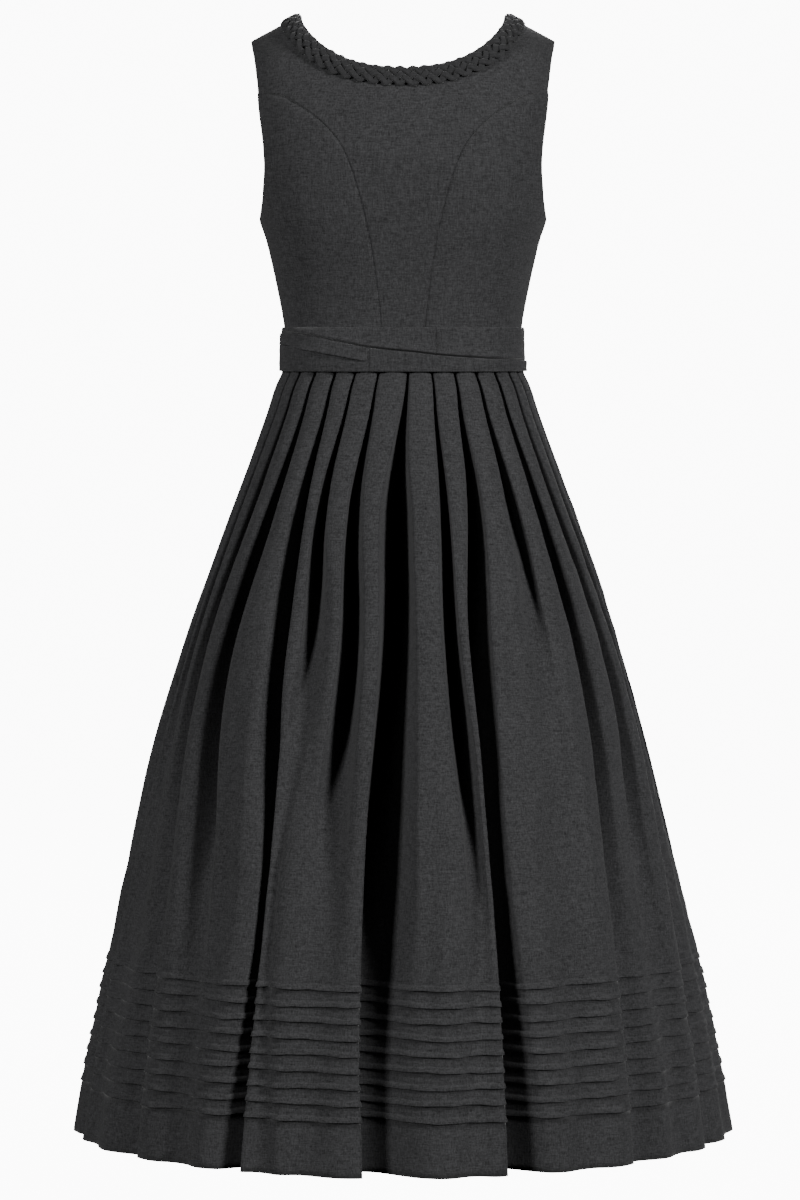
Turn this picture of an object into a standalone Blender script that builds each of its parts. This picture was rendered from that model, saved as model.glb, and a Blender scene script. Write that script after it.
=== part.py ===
"""Sleeveless dirndl: princess-seamed bodice with a plaited neck trim, a two-band belt
and a pleated skirt with nine tucks above its hem.

The garment is filled out as if it were worn and is open at the neck, the armholes and
the hem. Metres, +Z up. The back faces -Y, the wearer's right is +X, and the origin lies
between the shoulders, where the wearer holds the dress up. Each cloth piece is a thin
wall between an outer and an inner surface, and each seam is a gap of about 0.3 mm.
"""

import math

import bmesh
import bpy
import numpy as np

# --- walls and seams -------------------------------------------------------------------
BODICE_WALL = 0.0018
SKIRT_WALL = 0.0016
BELT_WALL = 0.0016
SEAM_INSET = 0.0002         # each piece stops this far short of its seam line
BELT_EASE = 0.0009          # between the bodice and the lower of the two belt bands
LAYER_GAP = 0.0004          # between the two belt bands

# --- heights ---------------------------------------------------------------------------
APEX_Z = -0.005             # neck end of the shoulder seam, under the neck trim
BELT_TOP_Z = -0.346
WAIST_SEAM_Z = -0.380       # the skirt is sewn on here, under the belt
BELT_FOOT_Z = -0.394
HEM_Z = -1.233
UNDERARM_Z = -0.230

# --- shoulders and neck ----------------------------------------------------------------
APEX_X = 0.112              # neck end of the shoulder seam, from the centre
SHOULDER_SLOPE = 0.53
SHOULDER_ROUND = 0.045      # radius with which the cloth turns over the shoulder
BACK_NECK_DROP = 0.061
FRONT_NECK_DROP = 0.128
NECK_SQUARENESS = 2.4
NECK_FLATNESS = 0.667

# Sections of the bodice: height, half width, depth of the back, depth of the front
BODY_SECTIONS = (
    (0.000, 0.1660, 0.045, 0.046),
    (-0.030, 0.1665, 0.062, 0.066),
    (-0.066, 0.1680, 0.081, 0.087),
    (-0.100, 0.1695, 0.096, 0.105),
    (-0.140, 0.1675, 0.105, 0.118),
    (-0.170, 0.1655, 0.108, 0.123),
    (-0.200, 0.1620, 0.107, 0.126),
    (-0.230, 0.1570, 0.105, 0.126),
    (-0.250, 0.1505, 0.102, 0.123),
    (-0.272, 0.1450, 0.098, 0.117),
    (-0.294, 0.1400, 0.094, 0.111),
    (-0.316, 0.1355, 0.091, 0.106),
    (-0.340, 0.1312, 0.088, 0.102),
    (-0.380, 0.1285, 0.086, 0.099),
)
BODY_ROUNDNESS = 2.3        # exponent of the bodice's superellipse
BUST_FULLNESS = 0.011       # what the front seams let out over each cup
BUST_TURN = math.radians(36)
BUST_Z = -0.205
BUST_SPREAD = (math.radians(20), 0.045)

# Points across the neck edge, the shoulder seam and a side piece, and above the princess seam
NECK_COLUMNS, SHOULDER_COLUMNS, SIDE_COLUMNS, ARMHOLE_ROWS = 8, 3, 6, 3
CURVE_STEPS = 80            # steps of a curve before it is cut or measured
YOKE_DROP = 0.02            # a main panel's rows are level up to this far below the neck edge
NECK_FADING = 2.0           # how fast the rows below the neck edge lose its bend
EVENING_ROUNDS = 16         # rounds that even out the cells of a yoke

# Seams as degrees round from the centre (back, then front) and heights
BACK_PRINCESS = (
    (7.7, -0.380), (8.1, -0.346), (10.0, -0.282), (11.3, -0.249), (12.9, -0.219), (15.4, -0.189),
    (17.8, -0.167), (21.6, -0.1455), (27.8, -0.1265), (35.8, -0.111), (46.7, -0.097), (57.0, -0.0925),
    (67.8, -0.0885),
)
FRONT_PRINCESS = (
    (22.0, -0.380), (22.9, -0.352), (24.4, -0.328), (29.0, -0.280), (34.0, -0.235), (38.5, -0.200),
    (45.0, -0.165), (54.0, -0.138), (66.5, -0.118),
)
BACK_ARMHOLE = (
    (90.0, -0.0336), (76.0, -0.052), (67.8, -0.0885), (64.0, -0.120), (63.0, -0.145), (64.5, -0.172),
    (69.0, -0.200), (78.0, -0.222), (90.0, -0.230),
)
FRONT_ARMHOLE = (
    (90.0, -0.0336), (77.0, -0.052), (69.5, -0.084), (66.5, -0.118), (64.5, -0.145), (65.5, -0.172),
    (70.0, -0.200), (79.0, -0.222), (90.0, -0.230),
)

# --- neck trim -------------------------------------------------------------------------
PLAIT_WIDTH = 0.023
PLAIT_BASE = 0.0022         # thickness in the furrows between the cords
PLAIT_RELIEF = 0.0030       # what the cords stand above the furrows
PLAIT_PITCH = 0.0128
PLAIT_OFFSET = 0.0006
PLAIT_SLANT = 0.5           # how far each cord leans across its row, in pitches
# Lines of points across the plait: share of its width, lean, relief of a cord, of a furrow
PLAIT_LINES = (
    (0.000, 0.0, 0.25, 0.0),
    (0.167, 0.5, 1.00, 0.0),
    (0.333, 1.0, 0.15, 0.0),
    (0.500, 0.5, 1.00, 0.0),
    (0.667, 0.0, 0.15, 0.0),
    (0.833, 0.5, 1.00, 0.0),
    (1.000, 1.0, 0.25, 0.0),
)

# --- belt ------------------------------------------------------------------------------
BELT_COLUMNS = 32           # in each half of the belt
UNDER_JOIN_X = 0.035        # upright joins in the back, right and left of the centre
OVER_JOIN_X = -0.036
BELT_FLARE = 0.0012         # how much the belt widens over the pleats at its foot
# Upper edge of the outer band: degrees round from the centre back, height
OVER_EDGE = (
    (-180, -0.366), (-140, -0.355), (-90, -0.3525), (-62, -0.3530), (-43, -0.356), (-30, -0.361),
    (-16, -0.367), (-2, -0.3715), (14, -0.3765), (33, -0.3795), (60, -0.3815), (90, -0.3825),
    (140, -0.379), (180, -0.366),
)

# --- skirt -----------------------------------------------------------------------------
# Outline of the skirt: height, half width, depth of the back, depth of the front, roundness
SKIRT_SECTIONS = (
    (-0.3800, 0.1286, 0.0862, 0.0992, 2.3),
    (-0.3940, 0.1300, 0.0876, 0.1004, 2.3),
    (-0.4080, 0.1365, 0.0930, 0.1060, 2.3),
    (-0.4370, 0.1460, 0.1040, 0.1160, 2.25),
    (-0.5030, 0.1700, 0.1300, 0.1390, 2.2),
    (-0.5700, 0.1950, 0.1530, 0.1600, 2.1),
    (-0.6400, 0.2200, 0.1760, 0.1810, 2.0),
    (-0.7700, 0.2590, 0.2120, 0.2150, 1.95),
    (-0.9000, 0.2920, 0.2430, 0.2440, 1.9),
    (-1.0300, 0.3220, 0.2690, 0.2690, 1.9),
    (-1.1500, 0.3465, 0.2880, 0.2870, 1.9),
    (-1.2330, 0.3610, 0.3000, 0.2970, 1.9),
)
PLEAT_STATIONS = (-0.394, -0.511, -0.690, -0.905, -1.233)
WAIST_PLEAT = (0.0034, 0.0045)      # half mouth and depth of each pleat where it is sewn down
PLEAT_START = PLEAT_STATIONS[0] + 0.012     # sewn down to here, and opening below it
PLEAT_OPENING = 0.26                # height over which a pleat opens to its full depth
PLEAT_FADING = 0.28                 # height over which it runs out again
HEM_SPREAD = 1.8                    # how much wider a pleat's mouth is where it has run out
PLEAT_LEAN = 0.8                    # how far its bottom slides under the crisp edge, in half mouths
LEANING_DEPTH = 0.03                # depth from which it leans all the way
PLEAT_BOTTOM = 0.45                 # place of its bottom between its middle and the crisp edge
CRISP_SWAP_Z, CRISP_SWAP_DROP = -0.55, 0.35     # its crisp edge changes sides below here
HARD_CURVE = 1.5                    # exponent of its wall on the crisp side
PANEL_CROWN = 0.05                  # bulge of the cloth between two pleats, as a share of its width
WIDEST_MOUTH = 0.4                  # half mouth of a pleat, as a share of the way to the next one
WIDEST_CROWN = 0.05                 # width beyond which it bulges no further
FIVE_COLUMNS = (-1.0, -0.5, 0.0, 0.5, 1.0)      # points across a pleat, from its bottom out
THREE_COLUMNS = (-1.0, 0.0, 1.0)
PLEAT_RANGE = 0.3                   # places that half a pleat takes up, the next pleat being 1 away
# One row for each pleat: degrees round from the centre back at the five stations, half mouth
# and depth where it is deepest (mm), height at which it has run out, what is left of its depth
# at the hem (mm), and its crisp edge at the waist and the hem (-1 left, 1 right, 0 both)
PLEATS = (
    (-167, -164, -163, -164, -166, 8, 36, -0.94, 6, -1, 0),
    (-154, -150, -149, -151, -153, 10, 50, -1.12, 13, -1, 1),
    (-142, -138, -136, -138, -141, 8, 32, -0.84, 0, -1, 0),
    (-130, -127, -124, -127, -131, 9, 44, -1.02, 8, -1, 1),
    (-118, -116, -113, -116, -119, 7, 28, -0.88, 0, -1, 0),
    (-106, -104, -103, -105, -108, 9, 40, -1.08, 12, -1, 1),
    (-95, -96, -97, -97, -98, 8, 30, -0.90, 0, -1, 0),
    (-81, -84, -84, -83, -80, 8, 34, -1.05, 10, -1, 1),
    (-69, -73, -76, -73, -70, 7, 28, -0.96, 0, -1, 0),
    (-57, -61, -67, -61, -56, 8, 32, -0.92, 9, -1, 1),
    (-44, -48, -54, -48, -43, 10, 42, -0.98, 5, -1, 0),
    (-31, -35, -35, -31, -32, 9.5, 50, -1.18, 22, -1, 1),
    (-20, -26, -25, -28, -26, 8.5, 36, -0.80, 0, -1, 0),
    (-9, -14, -14, -17, -18, 12, 44, -1.00, 0, -1, 0),
    (1.5, -1.5, -1.5, -2.5, -1.5, 20, 74, -1.20, 24, 0, -1),
    (11, 12, 13, 16, 13, 8.5, 36, -0.96, 5, 1, 0),
    (22, 23, 21, 21.5, 23, 12, 56, -1.20, 26, 1, -1),
    (34, 38, 38, 36, 34, 8, 28, -0.72, 0, 1, 0),
    (47, 51, 54, 51, 47, 8.5, 42, -1.02, 8, 1, -1),
    (60, 63, 68, 62, 57, 8, 34, -0.92, 0, 1, 0),
    (72, 75, 78, 74, 69, 8, 30, -1.00, 9, 1, -1),
    (83, 84, 84, 83, 81, 7, 26, -0.88, 0, 1, 0),
    (95, 97, 98, 98, 99, 9, 38, -1.06, 10, 1, -1),
    (105, 103, 101, 104, 108, 7, 28, -0.86, 0, 1, 0),
    (117, 114, 112, 114, 118, 9, 42, -1.04, 11, 1, -1),
    (129, 126, 124, 126, 130, 8, 30, -0.82, 0, 1, 0),
    (141, 138, 137, 140, 143, 10, 48, -1.10, 14, 1, -1),
    (153, 150, 148, 150, 154, 7, 30, -0.90, 0, 1, 0),
    (166, 163, 161, 162, 165, 9, 40, -1.00, 9, 1, -1),
)
PLEATED_HEIGHTS = (-0.3803, -0.394, -0.425, -0.475, -0.540, -0.620, -0.710, -0.820, -0.950)
PLAIN_HEIGHTS = (-1.025, -1.100, -1.180, HEM_Z)
TUCKS = 9
FIRST_TUCK_Z = -1.041
TUCK_PITCH = 0.0169
TUCK_LIP = 0.0024           # how far each tuck's folded edge stands out
TUCK_UNDERCUT = 0.0014      # height of the step under that edge
TUCK_RISE = 0.6             # where the first tuck starts above its edge, in pitches
RING_STEPS = 720            # steps of each ring's outline
SHARPEST_MITRE = 0.45       # limits how far a corner moves when the outline is offset

# Base colour and roughness of the cloths
CLOTHS = {
    "bodice_linen": ((0.036, 0.036, 0.037), 0.85),
    "skirt_linen": ((0.035, 0.035, 0.036), 0.85),
    "belt_linen": ((0.034, 0.034, 0.035), 0.85),
    "plait_cord": ((0.030, 0.030, 0.031), 0.80),
}


# --- small helpers ---------------------------------------------------------------------
def smooth(share):
    """Ease from 0 to 1."""
    share = min(1.0, max(0.0, share))
    return share * share * (3.0 - 2.0 * share)


def spline(stations, values, at):
    """Smooth curve through the values at rising stations."""
    stations, values = np.asarray(stations, float), np.asarray(values, float)
    slopes = np.gradient(values, stations)
    cell = int(np.clip(np.searchsorted(stations, at) - 1, 0, len(stations) - 2))
    span = stations[cell + 1] - stations[cell]
    share = min(1.0, max(0.0, (at - stations[cell]) / span))
    rise = values[cell + 1] - values[cell]
    ease = share * share * (3.0 - 2.0 * share)
    start = share * (1.0 - share) ** 2 * slopes[cell] * span
    end = -share * share * (1.0 - share) * slopes[cell + 1] * span
    return values[cell] + rise * ease + start + end


def column_reader(table, column):
    """Function of height that reads one column of a section table."""
    rows = sorted(table)
    heights = [row[0] for row in rows]
    values = [row[column] for row in rows]
    return lambda height: spline(heights, values, height)


def unit(vector):
    """The vector at length 1."""
    return vector / max(1e-12, float(np.linalg.norm(vector)))


def resample(points, count):
    """Even steps along a smooth curve through the given points."""
    points = np.asarray(points, float)
    run = np.concatenate(([0.0], np.cumsum(np.linalg.norm(np.diff(points, axis=0), axis=1))))
    steps = np.linspace(0.0, run[-1], count + 1)
    return np.array([[spline(run, axis, step) for axis in points.T] for step in steps])


# --- the bodice's surface --------------------------------------------------------------
half_width = column_reader(BODY_SECTIONS, 1)
back_depth = column_reader(BODY_SECTIONS, 2)
front_depth = column_reader(BODY_SECTIONS, 3)


def shoulder_height(x):
    """Height of the shoulder line at a distance from the centre."""
    return APEX_Z - SHOULDER_SLOPE * (abs(x) - APEX_X)


def reach(turn):
    """Share of the half width at a turn from the centre back."""
    return math.copysign(abs(math.sin(turn)) ** (2.0 / BODY_ROUNDNESS), math.sin(turn))


def turn_at(x, height):
    """Turn from the centre at which the bodice is x wide at a height."""
    share = min(1.0, abs(x) / half_width(height))
    return math.copysign(math.asin(share ** (BODY_ROUNDNESS / 2.0)), x)


def depth_below_shoulder(turn, height):
    """Distance down the cloth from the shoulder line to a height."""
    drop = shoulder_height(half_width(height) * reach(turn)) - height
    if drop >= SHOULDER_ROUND:
        return SHOULDER_ROUND * (math.pi / 2.0 - 1.0) + drop
    return SHOULDER_ROUND * math.acos(min(1.0, max(-1.0, 1.0 - drop / SHOULDER_ROUND)))


def bust(turn, height):
    """How far the cups stand out from the plain front."""
    front_turn = math.pi - abs(turn)
    across = (front_turn - BUST_TURN) / BUST_SPREAD[0]
    upward = (height - BUST_Z) / BUST_SPREAD[1]
    return BUST_FULLNESS * math.exp(-across * across - upward * upward)


def body(turn, down):
    """Point of the bodice's outer surface: turn from the centre back, distance from the shoulder."""
    arc = SHOULDER_ROUND * math.pi / 2.0
    if down >= arc:
        drop, forward = down - arc + SHOULDER_ROUND, 1.0
    else:
        drop = SHOULDER_ROUND * (1.0 - math.cos(down / SHOULDER_ROUND))
        forward = math.sin(down / SHOULDER_ROUND)
    x, z = 0.15 * reach(turn), -drop
    for _ in range(6):
        z = shoulder_height(x) - drop
        x = half_width(z) * reach(turn)
    deep = abs(math.cos(turn)) ** (2.0 / BODY_ROUNDNESS) * forward
    if abs(turn) <= math.pi / 2.0:
        return np.array((x, -back_depth(z) * deep, z))
    return np.array((x, (front_depth(z) + bust(turn, z)) * deep, z))


def body_normal(turn, down):
    """Unit normal of the bodice, pointing away from the wearer."""
    nudge_turn, nudge_down = 0.01, 0.0015
    side = math.pi / 2.0 if abs(abs(turn) - math.pi / 2.0) < nudge_turn else None
    if side is None:
        around = body(turn + nudge_turn, down) - body(turn - nudge_turn, down)
        along = body(turn, down + nudge_down) - body(turn, down - nudge_down)
        return unit(np.cross(along, around))
    around = np.array((0.0, math.copysign(1.0, turn), 0.0))
    along = body(turn, down + nudge_down) - body(turn, down - nudge_down)
    return unit(np.cross(along, around))


# --- meshes ----------------------------------------------------------------------------
def strip(row_a, row_b):
    """Triangles between two rows of as many vertices, each quad cut along its short diagonal."""
    faces = []
    for (_, a), (_, b), (_, c), (_, d) in zip(row_a, row_a[1:], row_b[1:], row_b):
        if (a.co - c.co).length <= (b.co - d.co).length:
            faces += [(a, b, c), (a, c, d)]
        else:
            faces += [(a, b, d), (b, c, d)]
    return faces


def stitch(row_a, row_b):
    """Triangles between two rows of (place, vertex) whose counts may differ."""
    if len(row_a) == len(row_b):
        return strip(row_a, row_b)
    faces, a, b = [], 0, 0
    while a < len(row_a) - 1 or b < len(row_b) - 1:
        step_a = a < len(row_a) - 1
        if step_a and b < len(row_b) - 1:
            step_a = row_a[a + 1][0] <= row_b[b + 1][0]
        if step_a:
            faces.append((row_a[a][1], row_a[a + 1][1], row_b[b][1]))
            a += 1
        else:
            faces.append((row_a[a][1], row_b[b + 1][1], row_b[b][1]))
            b += 1
    return faces


def cloth_wall(name, outer, inner, cloth, collection):
    """Closed wall between outer and inner rows, each a list of (places, points), top first."""
    mesh = bmesh.new()

    def add(rows):
        return [[(place, mesh.verts.new(point)) for place, point in zip(places, points)]
                for places, points in rows]

    outer_rows, inner_rows = add(outer), add(inner)
    faces = []
    for rows in (outer_rows, inner_rows):
        for above, below in zip(rows, rows[1:]):
            faces += stitch(above, below)
    for end in (0, -1):
        faces += stitch(outer_rows[end], inner_rows[end])
        faces += stitch(*[[(-row[end][1].co.z, row[end][1]) for row in rows]
                          for rows in (outer_rows, inner_rows)])
    for face in faces:
        mesh.faces.new(face)
    bmesh.ops.recalc_face_normals(mesh, faces=mesh.faces)
    if mesh.calc_volume(signed=True) < 0.0:
        bmesh.ops.reverse_faces(mesh, faces=mesh.faces)
    data = bpy.data.meshes.new(name)
    mesh.to_mesh(data)
    mesh.free()
    data.shade_smooth()
    data.set_sharp_from_angle(angle=math.radians(40))
    piece = bpy.data.objects.new(name, data)
    piece.data.materials.append(cloth_material(name, cloth))
    collection.objects.link(piece)
    return piece


def cloth_material(name, cloth):
    """The cloth's colour as a material of this piece alone."""
    colour, roughness = CLOTHS[cloth]
    material = bpy.data.materials.new(f"{name}_{cloth}")
    material.use_nodes = True
    shader = material.node_tree.nodes["Principled BSDF"]
    shader.inputs["Base Color"].default_value = (*colour, 1.0)
    shader.inputs["Roughness"].default_value = roughness
    shader.inputs["Metallic"].default_value = 0.0
    return material


# --- bodice panels ---------------------------------------------------------------------
def to_body(points, side, front):
    """Degrees and heights of one seam as (turn, distance from the shoulder)."""
    placed = []
    for degrees, height in points:
        turn = math.radians(180.0 - degrees if front else degrees) * side
        placed.append((turn, depth_below_shoulder(turn, height)))
    return np.array(placed)


def neck_height(x, drop):
    """Height of the neck edge at a distance from the centre."""
    share = min(1.0, abs(x) / APEX_X)
    return APEX_Z - drop * (1.0 - share ** NECK_SQUARENESS) ** NECK_FLATNESS


def neck_point(x, front):
    """The neck edge at x, as degrees from the centre and height."""
    height = neck_height(x, FRONT_NECK_DROP if front else BACK_NECK_DROP)
    return math.degrees(turn_at(x, height)), height


def neck_edge(columns, front):
    """Half of the neck edge, from the centre to the shoulder, closer together near the shoulder."""
    steps = [APEX_X * math.sin(math.pi / 2.0 * column / columns) for column in range(columns + 1)]
    return [neck_point(x, front) for x in steps]


def shoulder_edge(columns):
    """The shoulder seam from the neck to the armhole."""
    tip_x = half_width(BACK_ARMHOLE[0][1])
    edge = []
    for column in range(columns + 1):
        x = APEX_X + (tip_x - APEX_X) * column / columns
        height = shoulder_height(x)
        edge.append((math.degrees(turn_at(x, height)), height))
    edge[-1] = (90.0, shoulder_height(tip_x))
    return edge


def armhole_part(armhole, low, high, count):
    """Even steps along the armhole between two heights, top first."""
    dense = resample(armhole, CURVE_STEPS)
    part = [point for point in dense if low - 1e-6 <= point[1] <= high + 1e-6]
    return resample(part, count)


def straight(start, stop, columns):
    """Even steps between two places."""
    over = np.linspace(0.0, 1.0, columns)[:, None]
    return (1.0 - over) * start + over * stop


def patch(bottom, top, left, right, shares, fading=1.0):
    """Grid of (turn, distance) blended between four edges, with rows at shares of the way up;
    a higher fading keeps the upper edge's bends nearer to it."""
    columns = len(bottom)
    bottom_bend = bottom - straight(bottom[0], bottom[-1], columns)
    top_bend = top - straight(top[0], top[-1], columns)
    return np.array([straight(start, stop, columns) + (1.0 - up) * bottom_bend + up ** fading * top_bend
                     for start, stop, up in zip(left, right, shares)])


def inset(points, edges):
    """Pull the named edges of a grid of points in from their seams."""
    points = np.array(points)
    moves = {
        "left": ((slice(None), 0), (slice(None), 1)),
        "right": ((slice(None), -1), (slice(None), -2)),
        "bottom": ((0, slice(None)), (1, slice(None))),
        "top": ((-1, slice(None)), (-2, slice(None))),
    }
    for edge in edges:
        outermost, next_in = moves[edge]
        step = points[next_in] - points[outermost]
        length = np.linalg.norm(step, axis=-1, keepdims=True)
        points[outermost] = points[outermost] + step / np.maximum(length, 1e-9) * SEAM_INSET
    return points


def panel(name, grid, seams, collection):
    """A bodice piece from its grid on the body; seams names the edges sewn to a neighbour."""
    outer = [[body(turn, down) for turn, down in row] for row in grid]
    inner = [[body(turn, down) - BODICE_WALL * body_normal(turn, down) for turn, down in row]
             for row in grid]
    places = list(range(grid.shape[1]))
    rows = [[(places, row) for row in inset(side, seams)[::-1]] for side in (outer, inner)]
    return cloth_wall(name, rows[0], rows[1], "bodice_linen", collection)


def matched(seam, degrees, top):
    """Upright edge from the waist to a height, with a point for each point of a seam."""
    low, high = seam[0][1], seam[-1][1]
    return [(degrees, low + (top - low) * (height - low) / (high - low)) for _, height in seam]


def waist_edge(start, stop, count):
    """Steps along the waist seam between two angles, in degrees."""
    return [(degrees, WAIST_SEAM_Z) for degrees in np.linspace(start, stop, count + 1)]


def mirrored(edge):
    """The edge on the other side of the centre."""
    return edge * np.array((-1.0, 1.0))


def run_shares(edge):
    """Shares of the way along an edge at which its points lie."""
    points = np.array([body(turn, down) for turn, down in edge])
    run = np.concatenate(([0.0], np.cumsum(np.linalg.norm(np.diff(points, axis=0), axis=1))))
    return run / run[-1]


def main_panel(front):
    """Right half of a panel that reaches the shoulder: level rows up to near the neck, then a
    yoke whose outer edge runs up the armhole and in along the shoulder seam."""
    seam, armhole = (FRONT_PRINCESS, FRONT_ARMHOLE) if front else (BACK_PRINCESS, BACK_ARMHOLE)
    neck_base = APEX_Z - (FRONT_NECK_DROP if front else BACK_NECK_DROP)
    level = [point for point in seam if point[1] < neck_base - YOKE_DROP]
    shares_out = np.linspace(0.0, 1.0, NECK_COLUMNS + 1)
    lower = [to_body([(share * degrees, height) for share in shares_out], 1, front)
             for degrees, height in level]
    upper = armhole_part(armhole, seam[-1][1], armhole[0][1], ARMHOLE_ROWS)[::-1]
    shoulder = shoulder_edge(SHOULDER_COLUMNS)[::-1]
    outer = to_body(np.vstack((seam[len(level) - 1:], upper[1:-1], shoulder)), 1, front)
    outer[-len(shoulder):, 1] = 0.0
    top = to_body(neck_edge(NECK_COLUMNS, front), 1, front)
    top[-1] = outer[-1]
    shares_up = run_shares(outer)
    centre = [(0.0, level[-1][1] + share * (neck_base - level[-1][1])) for share in shares_up]
    yoke = patch(lower[-1], top, to_body(centre, 1, front), outer, shares_up, NECK_FADING)
    for _ in range(EVENING_ROUNDS):
        beside = yoke[1:-1, :-2] + yoke[1:-1, 2:]
        yoke[1:-1, 1:-1] = 0.25 * (yoke[:-2, 1:-1] + yoke[2:, 1:-1] + beside)
    return np.concatenate((lower, yoke[1:]))


def build_back(collection):
    """Centre back, between the two princess seams."""
    half = main_panel(False)
    grid = np.concatenate((mirrored(half)[:, :0:-1], half), axis=1)
    seam_shoulders(panel("bodice_back", grid, ("left", "right"), collection))


def build_side(label, front, side, collection):
    """Piece between a princess seam and the side seam, under the arm."""
    seam, armhole = (FRONT_PRINCESS, FRONT_ARMHOLE) if front else (BACK_PRINCESS, BACK_ARMHOLE)
    under = armhole_part(armhole, UNDERARM_Z, seam[-1][1], SIDE_COLUMNS)
    under[0], under[-1] = seam[-1], (90.0, UNDERARM_Z)
    side_seam = to_body(matched(seam, 90.0, UNDERARM_Z), side, front)
    waist = to_body(waist_edge(seam[0][0], 90.0, SIDE_COLUMNS), side, front)
    shares = (side_seam[0, 1] - side_seam[:, 1]) / (side_seam[0, 1] - side_seam[-1, 1])
    seam_line = to_body(seam, side, front)
    grid = patch(waist, to_body(under, side, front), seam_line, side_seam, shares)
    panel(f"bodice_{label}", grid, ("left", "right"), collection)


def build_front(label, side, collection):
    """Piece between the centre front and the front princess seam."""
    grid = main_panel(True)
    grid = mirrored(grid) if side < 0 else grid
    seam_shoulders(panel(f"bodice_{label}", grid, ("left", "right"), collection))


def build_bodice(collection):
    """Back, side backs, side fronts and fronts."""
    build_back(collection)
    for side, word in ((-1, "left"), (1, "right")):
        build_side(f"side_back_{word}", False, side, collection)
        build_side(f"side_front_{word}", True, side, collection)
        build_front(f"front_{word}", side, collection)


def seam_shoulders(piece):
    """Open the shoulder seam: the back stops short of it on one side, the front on the other."""
    forward = 1.0 if "front" in piece.name else -1.0
    for vertex in piece.data.vertices:
        if abs(vertex.co.y) < SEAM_INSET and vertex.co.z > UNDERARM_Z / 2.0:
            vertex.co.y = forward * SEAM_INSET


# --- neck trim -------------------------------------------------------------------------
def on_body(turn, down, direction, distance, steps=4):
    """Walk over the bodice from a point, keeping to a direction, for a distance."""
    for _ in range(steps):
        by_turn = (body(turn + 0.004, down) - body(turn - 0.004, down)) / 0.008
        by_down = (body(turn, down + 0.001) - body(turn, down - 0.001)) / 0.002
        normal = unit(np.cross(by_down, by_turn))
        heading = unit(direction - normal * float(direction @ normal)) * (distance / steps)
        moves, *_ = np.linalg.lstsq(np.column_stack((by_turn, by_down)), heading, rcond=None)
        turn, down = turn + float(moves[0]), down + float(moves[1])
    return turn, down


def neck_stretches():
    """The neck edge from centre front round the left: runs and places of its three stretches."""
    back = to_body(neck_edge(CURVE_STEPS, False), 1, False)
    front = to_body(neck_edge(CURVE_STEPS, True), 1, True)
    back[-1, 1] = front[-1, 1] = 0.0
    stretches, start = [], 0.0
    for places in (mirrored(front), np.vstack((mirrored(back)[:0:-1], back)), front[::-1]):
        points = np.array([body(turn, down) for turn, down in places])
        steps = np.linalg.norm(np.diff(points, axis=0), axis=1)
        run = start + np.concatenate(([0.0], np.cumsum(steps)))
        stretches.append((run, places, points))
        start = run[-1]
    return stretches


def across_plait(stretches, at, distance):
    """Point and normal of the body beside the neck edge: a distance away from the neck."""
    run, places, points = next((row for row in stretches if at <= row[0][-1]), stretches[-1])
    turn, down = [float(np.interp(at, run, axis)) for axis in places.T]
    cell = int(np.clip(np.searchsorted(run, at) - 1, 0, len(run) - 2))
    away = unit(np.cross(points[cell + 1] - points[cell], body_normal(turn, down)))
    if distance > 0.0:
        front = abs(turn) > math.pi / 2.0
        turn, down = on_body(turn, down, away, distance)
        if front:
            turn = math.copysign(max(abs(turn), math.pi / 2.0), turn)
        down = max(0.0, down)
    return body(turn, down), body_normal(turn, down)


def build_plait(collection):
    """One flat plait round the neck, its two ends meeting at the centre front."""
    stretches = neck_stretches()
    length = stretches[-1][0][-1]
    strokes = 2 * round(length / PLAIT_PITCH / 2.0)
    pitch = (length - 2.0 * SEAM_INSET) / strokes
    columns = list(range(2 * strokes + 1))
    outer, inner = [], []
    for line, (share, lean, cord, furrow) in enumerate(PLAIT_LINES):
        top_side, under_side = [], []
        for column in columns:
            near_end = min(1.0, min(column, 2 * strokes - column) / 2.0)
            at = SEAM_INSET + pitch * (column / 2.0 + PLAIT_SLANT * (lean - 0.5) * near_end)
            point, up = across_plait(stretches, at, PLAIT_WIDTH * share)
            raised = cord if (column + line // 2) % 2 == 0 else furrow
            top_side.append(point + up * (PLAIT_OFFSET + PLAIT_BASE + PLAIT_RELIEF * raised))
            under_side.append(point + up * PLAIT_OFFSET)
        outer.append((columns, top_side))
        if line % 3 == 0:
            inner.append((columns, under_side))
    cloth_wall("neck_braid", outer, inner, "plait_cord", collection)


# --- belt ------------------------------------------------------------------------------
def belt_point(turn, height, offset):
    """Point of the belt: a turn from the centre back, a height and a distance off the bodice."""
    foot = (BELT_TOP_Z - height) / (BELT_TOP_Z - BELT_FOOT_Z)
    width = half_width(BELT_TOP_Z) + BELT_FLARE * foot + offset
    depth = back_depth(BELT_TOP_Z) if abs(turn) <= math.pi / 2.0 else front_depth(BELT_TOP_Z)
    depth += BELT_FLARE * foot + offset
    power = 2.0 / BODY_ROUNDNESS
    x = width * math.copysign(abs(math.sin(turn)) ** power, math.sin(turn))
    y = -depth * math.copysign(abs(math.cos(turn)) ** power, math.cos(turn))
    return np.array((x, y, height))


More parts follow.
